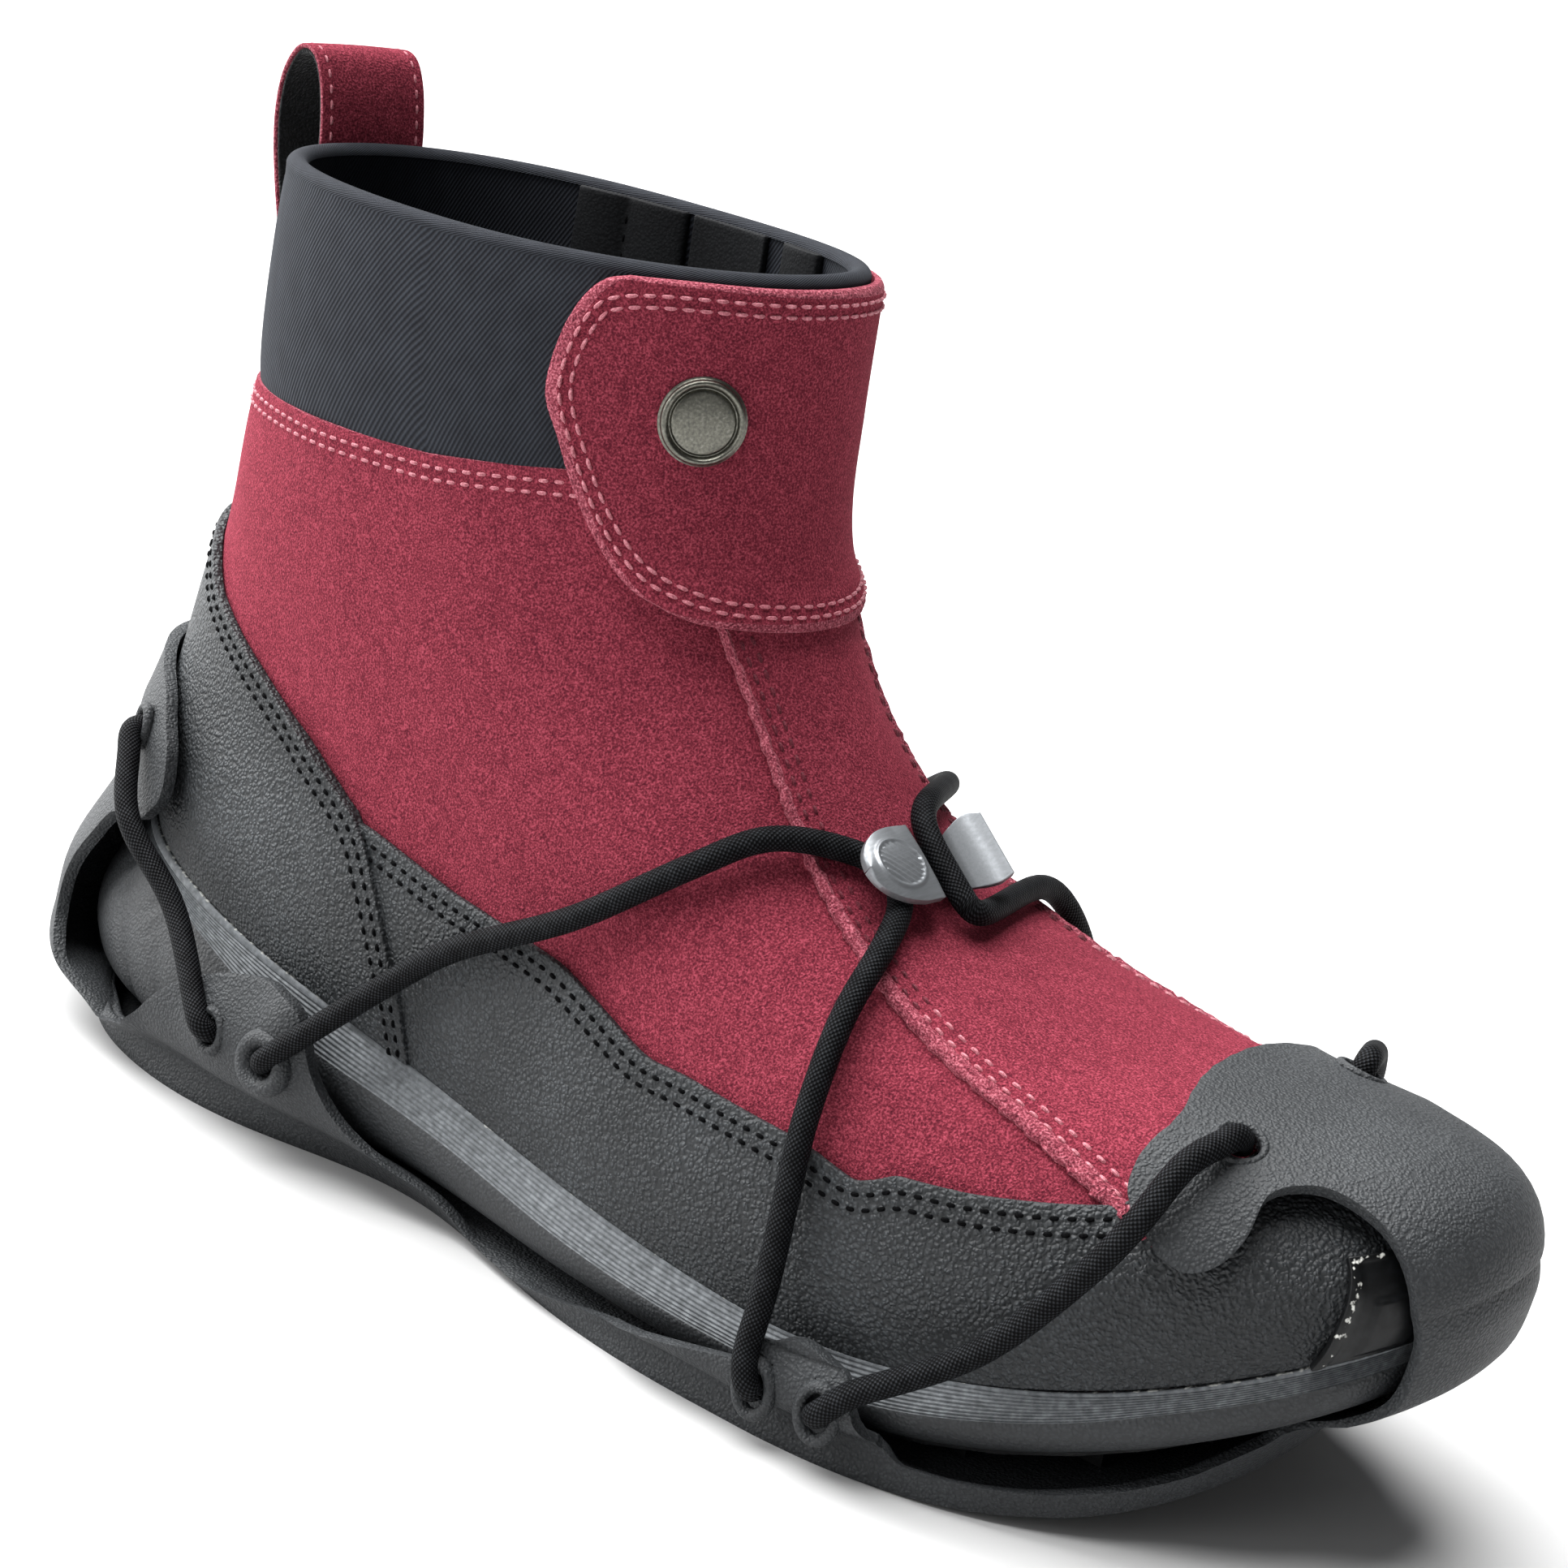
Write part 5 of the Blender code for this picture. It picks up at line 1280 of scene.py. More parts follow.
# The cover's tray: half turns, ring of its edge on the hull, how far the edge stands off the boot
COVER_EDGE = np.array([
    (0.00, 2.2, 7.0), (0.05, 2.2, 7.0), (0.10, 2.2, 7.0), (0.16, 1.8, 8.0), (0.20, 1.0, 9.0), (0.24, 1.5, 6.0),
    (0.27, 2.4, 3.5), (0.30, 3.6, 4.2), (0.32, 4.05, 5.5), (0.34, 3.95, 5.5), (0.36, 3.5, 4.5),
    (0.385, 2.9, 3.0), (0.402, 2.1, 2.5), (0.418, 1.2, 2.2), (0.434, 0.35, 2.0), (0.46, 0.25, 2.0),
    (0.478, 0.6, 3.0), (0.490, 1.9, 4.2), (0.503, 3.3, 4.6), (0.516, 4.2, 4.6), (0.53, 4.3, 4.4),
    (0.545, 3.9, 4.2), (0.559, 2.6, 3.6), (0.575, 1.3, 3.0), (0.60, 0.5, 2.2), (0.64, 0.45, 2.0),
    (0.70, 0.45, 2.0), (0.76, 0.5, 2.0), (0.82, 0.55, 1.6), (0.88, 0.8, 1.2), (0.92, 1.0, 1.2),
    (0.96, 1.0, 1.2), (1.0, 1.0, 1.2)])
# Its straps: ring, half-width in half turns, how far they stand off
HEEL_BAND = np.array([
    (2.75, 0.135, 5.6), (3.4, 0.135, 7.2), (4.0, 0.140, 7.8), (4.7, 0.178, 6.2), (5.3, 0.196, 5.2),
    (5.9, 0.192, 4.6), (6.25, 0.172, 3.8), (6.65, 0.150, 3.2), (6.95, 0.115, 3.0)])
TOE_BAND = np.array([
    (2.0, 0.112, 1.6), (3.0, 0.11, 2.2), (4.0, 0.11, 3.4), (5.0, 0.112, 5.4), (5.8, 0.119, 6.2),
    (6.2, 0.126, 6.0), (6.38, 0.134, 5.8), (6.45, 0.145, 5.7), (6.47, 0.160, 5.6)])
# The toe strap's arms: half turns, rings of the lower and the upper edge
TOE_ARMS = np.array([(0.721, 6.00, 6.25), (0.726, 5.86, 6.42), (0.735, 5.80, 6.56), (0.75, 5.84, 6.71),
                     (0.765, 5.94, 6.84), (0.785, 6.12, 6.97), (0.80, 6.28, 7.05), (0.815, 6.41, 7.11),
                     (0.83, 6.46, 7.18), (0.845, 6.47, 7.24), (0.88, 6.47, 7.39), (0.92, 6.47, 7.51),
                     (0.96, 6.47, 7.58), (1.0, 6.47, 7.6)])
# Eyelets: ring and half turns
REAR_EYELETS = ((2.95, 0.325), (3.0, 0.356))
FRONT_EYELETS = ((2.5, 0.509), (2.45, 0.540))
HEEL_EYELET = (5.85, 0.142)
TOE_EYELET = (6.93, 0.850)


@dataclass
class Cover:
    """The moulded overshoe: tray with wings, heel strap and toe strap, and the thick rims of its eyelets."""

    wall: float = 2.5
    step: float = 0.004                 # half turns between the tray's columns
    rows: int = 30
    heel_half: float = 0.16             # half turns from a strap's middle to its sides at the tray
    toe_half: float = 0.12
    strap_rows: tuple = (64, 56)
    heel_round: tuple = (6.3, 6.95, 0.16)      # rings where the heel strap's corners round off, and the drop
    arm_lift: float = 3.6
    arm_grid: tuple = (26, 34)          # rows, and columns beside the strap
    arm_blend: tuple = (0.235, 0.07)    # half turns from the front where the strap's lift ends, and its fade
    ease: float = 0.012                 # half turns that round off the tables' corners
    swell: tuple = (7.5, 1.2)           # reach and rise of the swelling round an eyelet
    swollen: int = 4                    # how many of the eyelets have it
    hood: tuple = (6.0, 2.2, 1.4)       # reach of the rear eyelet's hood, its rise outside and inside
    hood_at: tuple = (3.6, 0.343, 7.0)
    rims: tuple = (   # eyelet, half-width, half-height, thickness of the rim
        (REAR_EYELETS[0], 3.0, 4.0, 1.0), (REAR_EYELETS[1], 4.7, 4.8, 1.9), (FRONT_EYELETS[0], 3.3, 5.0, 1.15),
        (FRONT_EYELETS[1], 3.4, 5.0, 1.15), (HEEL_EYELET, 3.3, 4.0, 0.9), (TOE_EYELET, 4.2, 4.2, 0.75))

    def lift(self, level: float, turn: float) -> float:
        """How far the cover stands off the boot: in shares of the tray's edge, or as a strap does over it.

        Args:
            level: ring of the hull.
            turn: half turns from the back.
        Returns:
            Millimetres.
        """
        side = float(mirrored(turn))
        edge = float(np.interp(side, COVER_EDGE[:, 0], COVER_EDGE[:, 1]))
        if level <= edge:
            return GAP + float(np.interp(side, COVER_EDGE[:, 0], COVER_EDGE[:, 2])) * level / edge
        return float(np.interp(level, HEEL_BAND[:, 0], HEEL_BAND[:, 2])) if side < 0.5 else self.arm_lift

    @staticmethod
    def skin(level: Array, turn: Array, out: Array) -> tuple[Array, Array]:
        """Points off the boot's hull along its normals, which are made level where they go down.

        Args:
            level: rings of the hull.
            turn: half turns from the back.
            out: millimetres off the hull.
        Returns:
            Points, and the normals there.
        """
        normal = HULL.normal(level, turn)
        normal[..., 2] = np.maximum(normal[..., 2], 0.0)
        normal = unit(normal)
        return HULL.point(level, turn) + normal * np.asarray(out, float)[..., None], normal

    def eyelet(self, spot: tuple, inner: bool) -> tuple[Array, Array]:
        """Middle and normal of an eyelet in the wall, on the outer or inner side."""
        level, turn = spot[0], (2 - spot[1] if inner else spot[1])
        return self.skin(level, turn, self.lift(level, turn) + self.wall / 2)

    def grids(self) -> tuple[list, list]:
        """Grids of ring, half turns and lift for tray, straps and arms, and the faces over them all.

        Returns:
            Rows of ring, half turns and lift, and faces; the straps share the tray's vertices.
        """
        half = np.arange(round(1 / self.step) + 1) * self.step
        places = np.concatenate((half, 2 - half[-2:0:-1]))
        side = mirrored(places)
        edge, lift = (eased(side, COVER_EDGE, k, self.ease) for k in (1, 2))
        share = np.linspace(0, 1, self.rows)[:, None]
        table = [np.stack((edge * share, places + 0 * share, GAP + lift * share), axis=-1)]
        numbers = numbered(table[0].shape)
        faces = grid_faces(numbers, True)
        signed = np.where(places > 1, places - 2, places)
        behind = np.flatnonzero(side <= self.heel_half + 1e-6)
        behind = behind[np.argsort(signed[behind])]
        ahead = np.flatnonzero(side >= 1 - self.toe_half - 1e-6)
        count = numbers.size
        straps = ((HEEL_BAND, behind, signed[behind] / self.heel_half, 0.0, self.strap_rows[0]),
                  (TOE_BAND, ahead, (places[ahead] - 1) / self.toe_half, 1.0, self.strap_rows[1]))
        for band, columns, reach, middle, rows in straps:
            control = np.stack((band[:, :1] + 0 * reach, middle + band[:, 1:2] * reach,
                                band[:, 2:3] + 0 * reach), axis=-1)
            first = table[0][-1, columns].copy()
            first[:, 1] = middle + (signed[columns] if middle == 0 else places[columns] - 1)
            control = np.concatenate((first[None], control))
            dense = through(control, np.linspace(0, len(control) - 1, rows + 1)[1:])
            if middle == 0:
                low, high, drop = self.heel_round
                dense[..., 0] -= np.interp(dense[..., 0], (low, high), (0.0, drop)) * np.abs(reach) ** 4
            new = numbered(dense.shape, count)
            count += new.size
            table.append(dense)
            faces += grid_faces(np.vstack((numbers[-1, columns], new)), False)
        neck = 1 + TOE_BAND[-1, 1] * reach
        beside = np.linspace(TOE_ARMS[0, 0], neck[0], self.arm_grid[1])[:-1]
        turn = np.concatenate((beside, neck, 2 - beside[::-1]))
        low, high = (eased(mirrored(turn), TOE_ARMS, k, self.ease) for k in (1, 2))
        share = np.linspace(0, 1, self.arm_grid[0])[:, None]
        blend = np.clip((self.arm_blend[0] - np.abs(turn - 1)) / self.arm_blend[1], 0, 1)
        raised = (TOE_BAND[-1, 2] - self.arm_lift) * blend ** 2 * (3 - 2 * blend) * (1 - share) ** 1.5
        level = low + (high - low) * share
        table.append(np.stack((level, turn + 0 * share, self.arm_lift + raised), axis=-1))
        arms = numbered(table[-1].shape, count)
        arms[0, len(beside):len(beside) + len(neck)] = new[-1]
        faces += grid_faces(arms, False)
        return table, faces

    def build(self) -> None:
        """Makes the moulding: both faces of the wall over the hull, the floor across, eyelets and rims."""
        table, faces = self.grids()
        ring, turn, lift = np.concatenate([t.reshape(-1, 3) for t in table]).T
        every = [(number, inner) for number in range(len(self.rims)) for inner in (False, True)]
        centre = [self.place(*one) + self.rims[one[0]][1:3] for one in every]
        outer, normal = self.skin(ring, turn, lift + self.wall)
        swell = sum(self.bell(outer, spot[0], self.swell[0]) for spot in centre[:2 * self.swollen])
        outer = outer + normal * self.swell[1] * np.clip(swell, 0, 1)
        reach, outside, inside = self.hood
        hood = self.bell(outer, self.skin(*self.hood_at)[0], reach)
        outer = outer + normal * outside * hood
        inner = self.skin(ring, turn, lift)[0] + normal * inside * hood
        inner[:, 2] = np.maximum(inner[:, 2], HULL.height(FLOOR_RING[0], inner[:, 0]) + self.wall)
        outer[:, 2] = np.where(ring == 0, HULL.height(FLOOR_RING[0], outer[:, 0]), outer[:, 2])
        count, half = len(outer), round(1 / self.step)
        w = np.linspace(0, 1, 14)[:, None, None]
        station = np.arange(half + 1)
        other = np.where(station == 0, 0, 2 * half - station)
        floors = [layer[station] * (1 - w) + layer[other] * w for layer in (outer, inner)]
        numbers = numbered((len(w), half + 1), count)
        faces = faces + [face[::-1] for face in grid_faces(numbers, False)]
        layers = [np.concatenate((wall, floor.reshape(-1, 3))) for wall, floor in zip((outer, inner), floors)]
        layers, faces = welded(layers, faces)
        middle = np.array([layers[0][face].mean(0) for face in faces])
        kept = np.ones(len(faces), bool)
        for point, out, side, up, wide, tall in centre:
            off = middle - point
            kept &= ((off @ side / wide) ** 2 + (off @ up / tall) ** 2 > 1) | (np.abs(off @ out) > 8)
        faces = [face for face, keep in zip(faces, kept) if keep]
        shape = self.trimmed(walled(layers[0], layers[1], faces))
        make("elastomer_cover", shape, (ELASTOMER,), replaces=("overshoe_cover",), edge=0.7)
        make("eyelet_rims", joined([self.rim(*one) for one in every]), (ELASTOMER,))

    @staticmethod
    def bell(points: Array, spot: Array, reach: float) -> Array:
        """A bell curve of the points' distances from a place, as a column."""
        return np.exp(-(np.linalg.norm(points - spot, axis=1, keepdims=True) / reach) ** 2)

    @staticmethod
    def trimmed(shape: Shape) -> Shape:
        """The shape without points that no face uses.

        Args:
            shape: points and faces.
        Returns:
            The points in use, and the faces renumbered.
        """
        used = np.unique(np.concatenate([np.asarray(face) for face in shape.faces]))
        back = np.zeros(len(shape.points), int)
        back[used] = np.arange(len(used))
        return Shape(shape.points[used], [back[face].tolist() for face in shape.faces])

    def place(self, number: int, inner: bool) -> tuple[Array, Array, Array, Array]:
        """An eyelet's axes in the wall.

        Args:
            number: its place among the rims.
            inner: whether it is on the inner side.
        Returns:
            Its middle, its normal, and the directions across it and up in the wall's plane.
        """
        middle, normal = self.eyelet(self.rims[number][0], inner)
        up = unit(np.array(UPWARDS) - normal * normal[2])
        return middle, normal, np.cross(up, normal), up

    def rim(self, number: int, inner: bool) -> Shape:
        """An eyelet's rim: a round section carried along an oval in the wall's plane.

        Args:
            number: its place among the rims.
            inner: whether it is on the inner side.
        Returns:
            The closed ring.
        """
        _, wide, tall, thick = self.rims[number]
        middle, normal, side, up = self.place(number, inner)
        angle, section = circle(56)[:, None], circle(18)[:, None]
        away = np.cos(angle) * side * wide + np.sin(angle) * up * tall
        path = middle + normal * (self.wall / 2 + 0.5 * thick) + away
        out = unit(np.cos(angle) * side * tall + np.sin(angle) * up * wide)
        round_it = np.cos(section) * out[:, None] + 1.15 * np.sin(section) * normal
        return ring_body(path[:, None] + thick * round_it)


# Cord runs: ring, half turns, height over the last, and how much higher on the inner side
REAR_RUN = ((1.30, 0.374, 5.8, 0.0), (2.10, 0.400, 5.2, 0.0), (2.85, 0.431, 4.8, 0.4), (3.5, 0.468, 4.0, 3.3),
            (4.09, 0.514, 3.6, 4.0), (4.85, 0.656, 3.8, 1.2), (5.31, 0.775, 4.4, 0.3))
FRONT_RUN = ((5.02, 0.872, 4.6, 0.4), (4.55, 0.783, 4.6, 0.0), (3.79, 0.664, 4.0, 0.0), (2.65, 0.556, 4.2, 0.0),
             (1.75, 0.520, 5.2, 0.0), (0.90, 0.510, 7.8, 0.0), (0.1, 0.508, 13.0, 0.0))
UNDER_PLATE = ((5.30, 0.885, 4.0, 0.0),)
TOE_RUN = ((2.62, 0.775, 11.2, 0.0), (2.2, 0.722, 9.4, 0.0), (1.7, 0.675, 6.8, 0.0), (0.8, 0.615, 6.8, 0.0),
           (0.1, 0.560, 12.0, 0.0))
HEEL_RUN = ((0.95, 0.190, 12.5, 0.0), (0.20, 0.235, 10.0, 0.0))


@dataclass
class Cords:
    """The elastic cord: on each side a run to the hook and back, one to the toe strap, one to the heel's."""

    cover: Cover
    radius: float = 2.3
    sides: int = 24
    step: float = 0.7           # between the rings of a run
    stand: float = 4.4          # how far a run goes straight out of its eyelet
    turn_on: float = 5.0        # how far it goes on from there
    saddle: tuple = ((7.0, 14.0, 4.4), (2.5, 11.0, 5.2), (0.0, 6.0, 5.7), (0.0, -6.0, 5.7), (2.5, -11.0, 5.2))

    def leaving(self, spot: tuple, inner: bool, towards: Array) -> list:
        """First points of a run: inside the eyelet, straight out of it, and a little way on.

        Args:
            spot: the eyelet's ring and half turns.
            inner: whether it is on the inner side.
            towards: the run's next point.
        Returns:
            Four points.
        """
        middle, normal = self.cover.eyelet(spot, inner)
        out = middle + normal * self.stand
        return [middle, middle + normal * self.cover.wall, out, out + unit(towards - out) * self.turn_on]

    @staticmethod
    def over(run: Sequence, inner: bool) -> list:
        """Points of a run over the last."""
        return [LAST.skin(level, 2 - turn if inner else turn, height + more * inner)
                for level, turn, height, more in run]

    def sleeve(self, route: Sequence) -> Shape:
        """A run's surface: a circle carried along the route.

        Args:
            route: points that the cord passes.
        Returns:
            The closed shape; its UV map holds millimetres along and round.
        """
        fine = through(np.array(route), np.linspace(0, len(route) - 1, 60 * len(route)))
        window = np.hanning(19)[1:-1]
        path = smoothed(spaced(fine, self.step)[0], window / window.sum())
        tangent = unit(np.gradient(path, axis=0))
        flat = np.linalg.eigh(tangent.T @ tangent)[1][:, 0]
        side = unit(flat - (tangent @ flat)[:, None] * tangent)
        other = np.cross(tangent, side)
        angle = circle(self.sides)
        round_it = np.cos(angle)[:, None] * side[:, None] + np.sin(angle)[:, None] * other[:, None]
        shape = tubes((path[:, None] + self.radius * round_it)[None])
        shape.uv = corner_uv(np.arange(len(path)) * self.step, np.append(angle, 2 * PI) * self.radius,
                             2 * self.sides)
        return shape

    def build(self, hook: "Hook") -> None:
        """Makes the six runs; on the inner side the instep run passes the hook's saddle.

        Args:
            hook: the hook that holds the run.
        """
        axes, base = hook.axes()
        saddle = [base + np.array(spot) @ axes for spot in self.saddle]
        for label, inner in (("outer", False), ("inner", True)):
            middle = saddle if inner else self.over(UNDER_PLATE, False)
            front = self.over(FRONT_RUN[1:] if inner else FRONT_RUN, inner)
            instep = self.over(REAR_RUN, inner) + middle + front
            runs = (("instep", REAR_EYELETS[1], instep, FRONT_EYELETS[0]),
                    ("toe", TOE_EYELET, self.over(TOE_RUN, inner), FRONT_EYELETS[1]),
                    ("heel", HEEL_EYELET, self.over(HEEL_RUN, inner), REAR_EYELETS[0]))
            for part, start, run, end in runs:
                route = (self.leaving(start, inner, run[0]) + run + self.leaving(end, inner, run[-1])[::-1])
                make(f"braided_cord_{label}_{part}", self.sleeve(route), (BRAID,),
                     replaces=(f"cord_{label}_{part}",))


@dataclass
class Hook:
    """The pressed steel hook on the instep: a rounded plate, a saddle and an upturned flange."""

    at: tuple = (5.24, 0.965)
    base: float = 1.1
    sheet: float = 1.3
    disc: tuple = (-11.5, 4.3, 4.9)        # place of the plate's disc, radius of its hatching and of its rim
    relief: tuple = (0.16, 0.3)            # of hatching and rim
    hatch: float = 1.5
    dish: float = 0.9
    spine: Array = tabled(      # place along it, height, width
        (-18.85, 7.0, 0.2), (-18.4, 7.05, 4.4), (-17.5, 7.15, 7.8), (-16.0, 7.3, 10.9), (-13.5, 7.5, 13.9),
        (-10.0, 7.6, 15.5), (-6.5, 7.4, 15.4), (-5.0, 7.0, 15.0), (-3.8, 5.4, 11.0), (-2.4, 3.6, 9.5),
        (0.0, 2.5, 9.0), (2.6, 3.6, 9.5), (4.6, 6.5, 12.5), (7.0, 9.2, 14.5), (10.0, 10.6, 13.0))

    def axes(self) -> tuple[Array, Array]:
        """Rows along the hook, across it and up, and the vamp's face under its saddle."""
        axes = axes_of(LAST.normal(*self.at), LAST.ahead(*self.at, 0.05))
        return axes, LAST.skin(*self.at, self.base)

    def build(self) -> None:
        """Makes the strip: width and height over its length, dished across, a hatched disc in the plate."""
        axes, base = self.axes()
        place = through(self.spine, np.linspace(0, len(self.spine) - 1, 140))
        u = np.linspace(-0.5, 0.5, 60)
        run = place[:, :1] + 0 * u
        across = place[:, 2:3] * u
        disc = np.hypot(run - self.disc[0], across)
        hatch = np.cos(2 * PI * (run + across) / self.hatch) * (disc < self.disc[1])
        pressed = self.relief[0] * hatch + self.relief[1] * np.exp(-((disc - self.disc[2]) / 0.35) ** 2)
        height = place[:, 1:2] - self.dish * (2 * u) ** 2 * np.clip((run + 3) / -6, 0, 1)
        slope = unit(np.stack((np.gradient(place[:, 0]), np.gradient(place[:, 1])), axis=1))
        lean = np.stack((-slope[:, 1], slope[:, 0]), axis=1)[:, None]
        layers = []
        for depth in (0.0, -self.sheet):
            rise = pressed * (depth == 0) + depth
            local = np.stack((run + rise * lean[..., 0], across, height + rise * lean[..., 1]), axis=-1)
            layers.append(base + local @ axes)
        shape = wall_grid(layers[0][:, ::-1], layers[1][:, ::-1])
        make("steel_hook", shape, (STEEL,), replaces=("cord_hook",), edge=0.3)


# The zip's middle: ring and half turns
ZIP_LINE = np.array([(3.3, 1.465), (4.0, 1.445), (5.0, 1.42), (6.0, 1.402), (7.0, 1.388), (8.0, 1.378),
                     (8.90, 1.372)])


@dataclass
class Zip:
    """The zip on the inner side: woven tape, two rows of teeth, slider and the pull that swings on it."""

    tape: float = 14.0
    tape_wall: float = 0.9
    ring_mm: float = 18.0           # height of a ring, near enough for the UV map
    coil: float = 1.6
    tooth_pitch: float = 1.5
    tooth: tuple = ((-1.5, 0.35), (-1.1, 0.55), (0.9, 0.55), (1.5, 0.3))      # places across it and its sizes
    slider_at: float = 8.70
    slider: tuple = (11.0, 9.0, 3.0)
    pull: tuple = (24.0, 6.5, 1.5)
    pull_hole: tuple = (5.2, 1.7, 5.0)      # half-length, half-width, and its place from the pull's middle
    pull_ridges: tuple = (0.12, 3.2)        # height, and radians in a millimetre
    hinge_down: float = 1.5
    pull_stand: float = 0.7

    def line(self, levels: Array) -> Array:
        """Half turns of the zip's middle at rings."""
        return np.interp(levels, ZIP_LINE[:, 0], ZIP_LINE[:, 1])

    def build(self) -> None:
        """Makes tape, teeth, slider and pull."""
        level = np.linspace(ZIP_LINE[0, 0], ZIP_LINE[-1, 0], 160)
        middle = self.line(level)
        run = np.linalg.norm(LAST.ahead(level, middle, 0.01), axis=-1) / 0.02
        across = np.linspace(-0.5, 0.5, 21)
        turn = middle[:, None] + across * self.tape / run[:, None]
        ring = level[:, None] + 0 * turn
        low = 1.5 * GAP
        raised = self.tape_wall + 0.25 * np.cos(across * 6 * PI) ** 2
        shape = wall_grid(LAST.skin(ring, turn, low + raised), LAST.skin(ring, turn, 0 * ring - 0.2))
        uv = np.stack(np.broadcast_arrays(level[:, None] * self.ring_mm, across * self.tape), axis=-1)
        uv = uv.reshape(-1, 2) * UV_MM
        shape.uv = np.concatenate((uv, uv))[np.concatenate(shape.faces)]
        make("zip_tape_woven", shape, (TAPE,), replaces=("zip_tape",), edge=0.25)
        self.teeth(level, middle, run)
        self.metal()

    def teeth(self, level: Array, middle: Array, run: Array) -> None:
        """The closed teeth: short bars across the zip, in turn from either side.

        Args:
            level: rings along the zip.
            middle: half turns of its middle there.
            run: millimetres in a half turn there.
        """
        height = 2.5 * GAP + self.tape_wall + 0.2
        rows = []
        for side in (-1, 1):
            at = LAST.skin(level, middle + side * 0.75 / run, height + 0.35)
            normal = LAST.normal(level, middle)
            across = LAST.ahead(level, middle, 0.01)
            points, facing, over = spaced(at, self.tooth_pitch, normal, unit(across))
            points = points + 0.37 * side * unit(np.gradient(points, axis=0))
            rows.append(self.bars(points, unit(facing), unit(over), side))
        make("zip_teeth_moulded", joined(rows), (ZIP_METAL,), replaces=("zip_teeth",))

    def bars(self, points: Array, up: Array, over: Array, side: int) -> Shape:
        """Bars across the zip: an eight-sided rounded section carried over the places of a tooth.

        Args:
            points: middles of the bars.
            up: normals there.
            over: directions across the zip.
            side: which tape they belong to.
        Returns:
            All the bars as one shape.
        """
        ahead = np.cross(over, up)
        angle = (circle(8) + PI / 8)[:, None]
        reach, size = np.array(self.tooth).T[..., None, None]
        section = np.cos(angle) * ahead[:, None, None] + 1.25 * np.sin(angle) * up[:, None, None]
        rings = points[:, None, None] - side * reach * over[:, None, None] + size * section
        return tubes(rings, flip=side > 0)

    def metal(self) -> None:
        """Slider and pull: rounded outlines with their own thickness, in the axes of the zip's top."""
        level, place = self.slider_at, self.line(self.slider_at)
        axes = axes_of(LAST.normal(level, place), LAST.point(level - 0.2, place) - LAST.point(level, place))
        base = 2.5 * GAP + self.tape_wall + self.coil + GAP
        middle = LAST.skin(level, place, base + self.slider[2] / 2)
        angle = circle(48)
        outline = signed_power(np.stack((np.cos(angle), np.sin(angle)), axis=1), 2 / 4.5) / 2
        profile = np.array([(0.02, -0.5), (0.9, -0.5), (1.0, -0.42), (1.0, -0.2), (0.86, -0.1), (0.86, 0.1),
                            (1.0, 0.2), (1.0, 0.42), (0.9, 0.5), (0.4, 0.5), (0.02, 0.5)])
        waist = 1 - 0.22 * (outline[:, 0] + 0.5) ** 2
        rings = np.stack((profile[:, :1] * outline[:, 0] * self.slider[0],
                          profile[:, :1] * outline[:, 1] * waist * self.slider[1],
                          profile[:, 1:] * self.slider[2] + 0 * angle), axis=-1)
        make("zip_slider_body", tubes((middle + rings @ axes)[None]), (ZIP_METAL,),
             replaces=("zip_slider",))
        lift = base + self.slider[2] + GAP + self.pull[2] / 2
        hinge = LAST.skin(level, place, lift) + axes[0] * self.hinge_down
        u = circle(90)
        outer = np.stack((signed_power(np.cos(u), 0.5) * self.pull[0] / 2,
                          signed_power(np.sin(u), 0.7) * self.pull[1] / 2), axis=1)
        long, wide, ahead = self.pull_hole
        inner = np.stack((long * np.cos(u) + ahead, wide * np.sin(u)), axis=1)
        loops = []
        for blend, height in ((0.0, -0.3), (0.06, -0.5), (0.94, -0.5), (1.0, -0.3), (1.0, 0.3), (0.94, 0.5),
                              (0.06, 0.5), (0.0, 0.3)):
            flat = outer * (1 - blend) + inner * blend
            ridge = self.pull_ridges[0] * np.cos(flat[:, 0] * self.pull_ridges[1])
            ridge = ridge * (abs(height) > 0.4) * (flat[:, 0] < -2)
            loops.append(np.column_stack((flat[:, 0] + self.pull[0] / 2 - self.pull_stand, flat[:, 1],
                                          height * (self.pull[2] + ridge))))
        rings = np.stack(loops, axis=1)
        make("zip_pull_tab", ring_body((hinge + rings @ axes)[:, ::-1]), (ZIP_METAL,),
             body="pull", replaces=("zip_pull",))


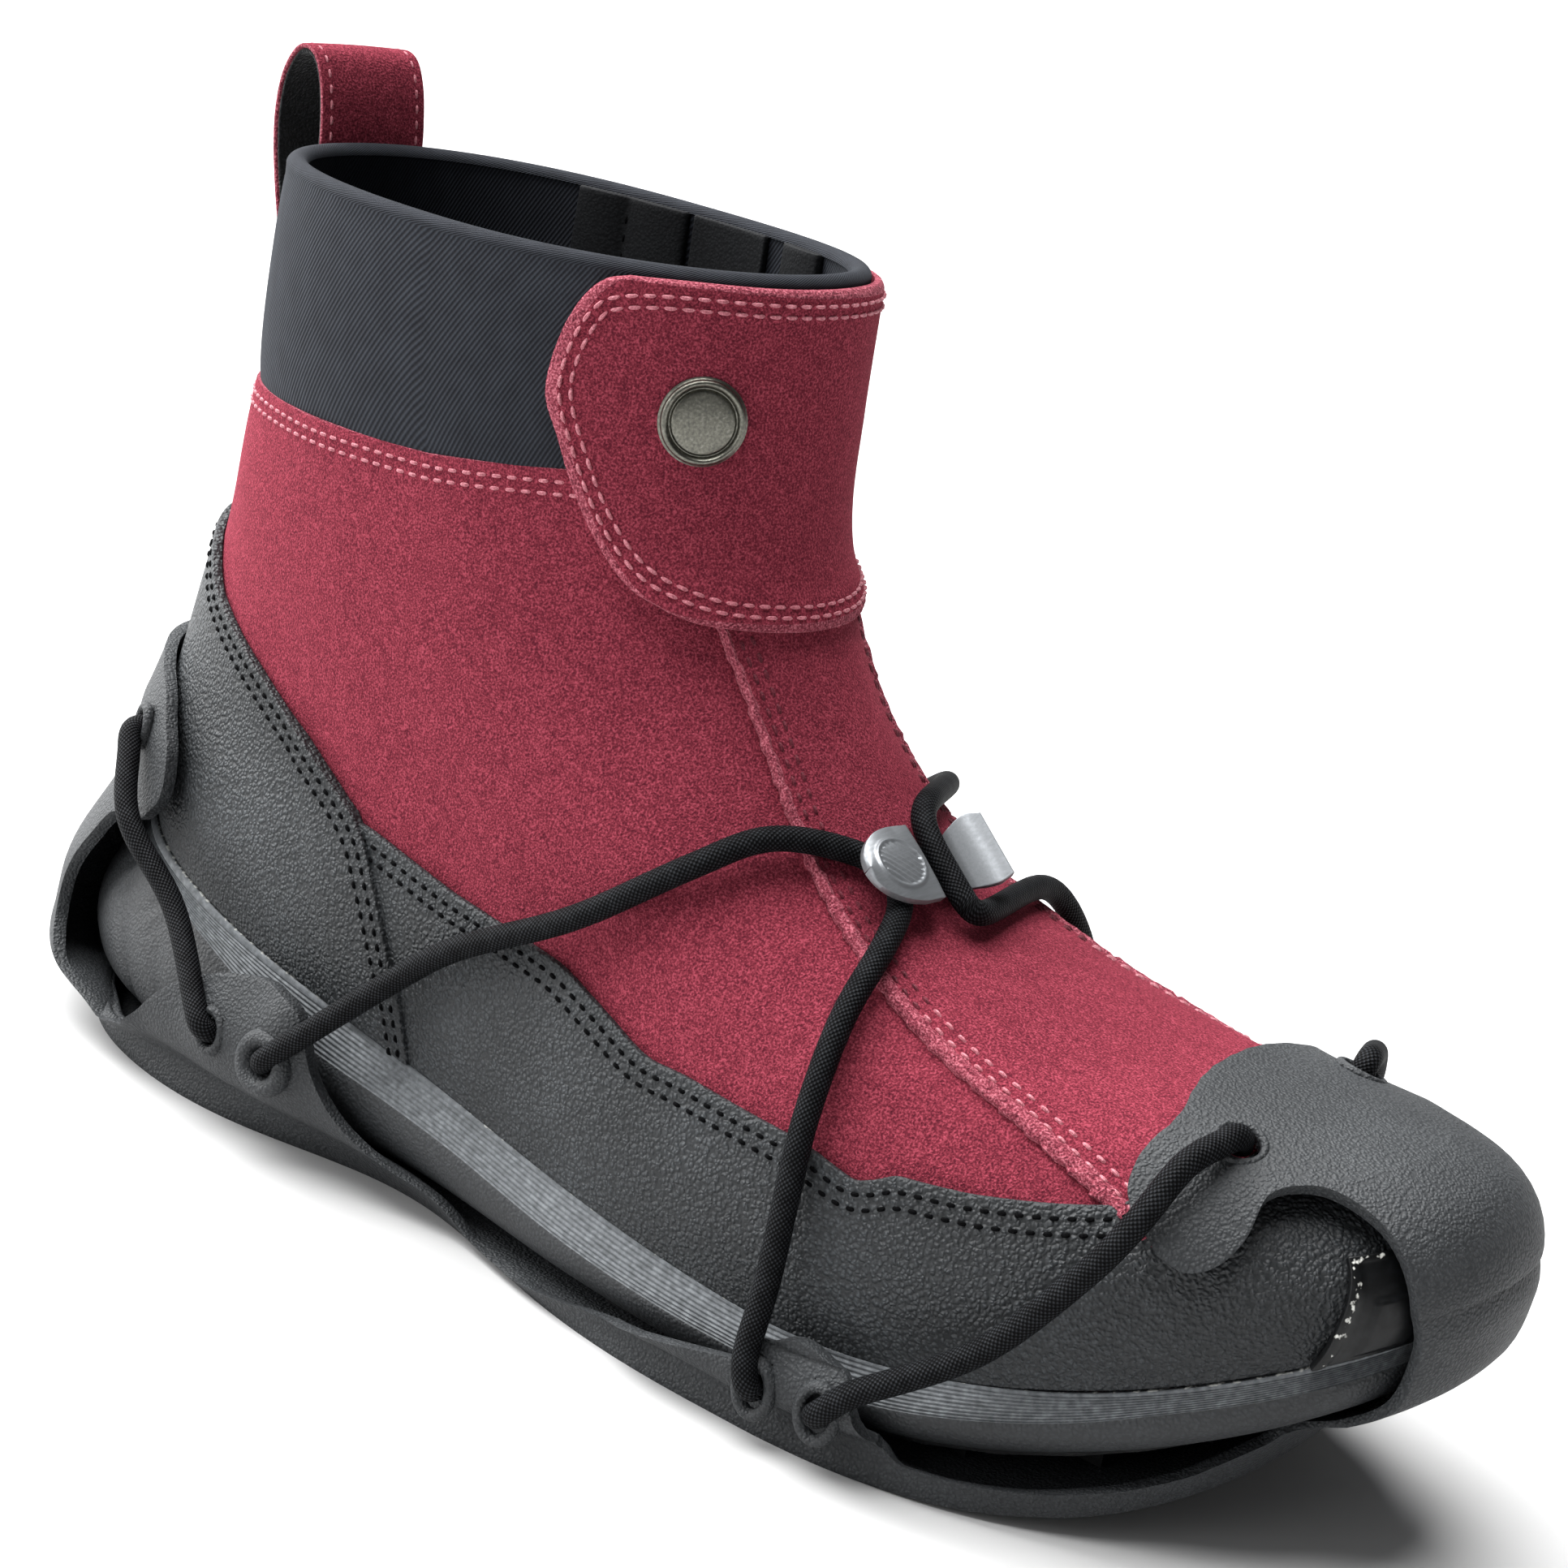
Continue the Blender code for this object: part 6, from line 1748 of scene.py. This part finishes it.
@dataclass
class Studio:
    """Pale floor, soft light and the photograph's camera."""

    azimuth: float = 33.30
    elevation: float = 18.81
    roll: float = 9.84
    distance: float = 572.25
    target: tuple = (86.66, 1.39, 91.44)
    lens: float = 71.51
    suns: tuple = (   # where it stands, strength, degrees across
        ((-0.36, 0.0, 1.0), 9.0, 62.0), ((-0.97, -0.12, 0.42), 5.4, 65.0))
    softboxes: tuple = (   # place and target in metres, size in metres, watts
        ((-0.45, -1.25, 0.55), (0.05, 0.0, 0.08), 1.0, 5.2), ((1.1, -0.75, 0.5), (0.1, 0.0, 0.06), 0.5, 0.4))
    surround: float = 0.12
    floor: float = 60.0      # metres from its middle to its edges

    @staticmethod
    def lamp(name: str, kind: str, spot: tuple, aim: tuple, energy: float) -> bpy.types.Light:
        """A lamp at a place that faces another one.

        Args:
            name: its name.
            kind: Blender's kind of lamp.
            spot: where it stands.
            aim: where it shines.
            energy: its strength.
        Returns:
            The lamp's data.
        """
        data = bpy.data.lights.new(name, kind)
        data.energy = energy
        light = bpy.data.objects.new(name, data)
        away = unit(np.array(spot) - np.array(aim))
        level = unit(np.cross(UPWARDS, away))
        turned = Matrix(np.column_stack((level, np.cross(away, level), away)).tolist()).to_4x4()
        turned.translation = spot
        light.matrix_world = turned
        bpy.context.scene.collection.objects.link(light)
        return data

    def build(self) -> None:
        """Makes camera, floor, lights and the pale surroundings."""
        a, e, r = (math.radians(v) for v in (self.azimuth, self.elevation, self.roll))
        back = np.array((math.sin(a) * math.cos(e), -math.cos(a) * math.cos(e), math.sin(e)))
        right = np.array((math.cos(a), math.sin(a), 0.0))
        up = np.cross(back, right)
        right, up = math.cos(r) * right + math.sin(r) * up, -math.sin(r) * right + math.cos(r) * up
        camera = bpy.data.objects.new("photo_camera", bpy.data.cameras.new("photo_camera"))
        place = Matrix(np.column_stack((right, up, back)).tolist()).to_4x4()
        place.translation = (np.array(self.target) + back * self.distance) * MM
        camera.matrix_world = place
        camera.data.lens, camera.data.sensor_width = self.lens, 36.0
        camera.data.clip_start = 0.01
        camera.data.dof.use_dof = False
        scene = bpy.context.scene
        scene.collection.objects.link(camera)
        scene.camera = camera
        scene.view_settings.view_transform = "Standard"
        floor = bpy.data.meshes.new("pale_floor")
        far = self.floor
        corners = [(-far, -far, 0), (far, -far, 0), (far, far, 0), (-far, far, 0)]
        floor.from_pydata(corners, [], [(0, 1, 2, 3)])
        paper = bpy.data.materials.new("pale_paper")
        paper.use_nodes = True
        fill(paper.node_tree, paper.node_tree.nodes["Principled BSDF"],
             {"Base Color": linear("#b8b8b8"), "Roughness": 0.9})
        floor.materials.append(paper)
        stage = bpy.data.objects.new("pale_floor", floor)
        scene.collection.objects.link(stage)
        for number, (spot, energy, wide) in enumerate(self.suns, 1):
            self.lamp(f"wide_sun_{number}", "SUN", spot, (0.0, 0.0, 0.0), energy).angle = math.radians(wide)
        for number, (spot, aim, size, power) in enumerate(self.softboxes, 1):
            data = self.lamp(f"softbox_{number}", "AREA", spot, aim, power)
            data.shape, data.size = "DISK", size
        world = bpy.data.worlds.new("studio")
        world.use_nodes = True
        fill(world.node_tree, world.node_tree.nodes["Background"],
             {"Color": linear("#f4f5f7"), "Strength": self.surround})
        scene.world = world


def dress_tread(frame: dict) -> None:
    """Gives the CAD tread its rubber.
    """
    data = frame["nodes"]["outsole"].data
    data.materials.clear()
    data.materials.append(TREAD.material())


def main() -> None:
    """Clears the scene, loads the frame and builds the sub-assemblies in order."""
    logging.basicConfig(level=logging.INFO)
    for old in list(bpy.data.objects):
        bpy.data.objects.remove(old, do_unlink=True)
    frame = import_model()
    Studio().build()
    cover, hook = Cover(), Hook()
    Cords(cover).build(hook)
    for assembly in (cover, hook, Upper(), Collar(), Flap(), PullLoop(), Leathers(), Soles(), Zip()):
        assembly.build()
    dress_tread(frame)


if __name__ == "__main__":
    main()
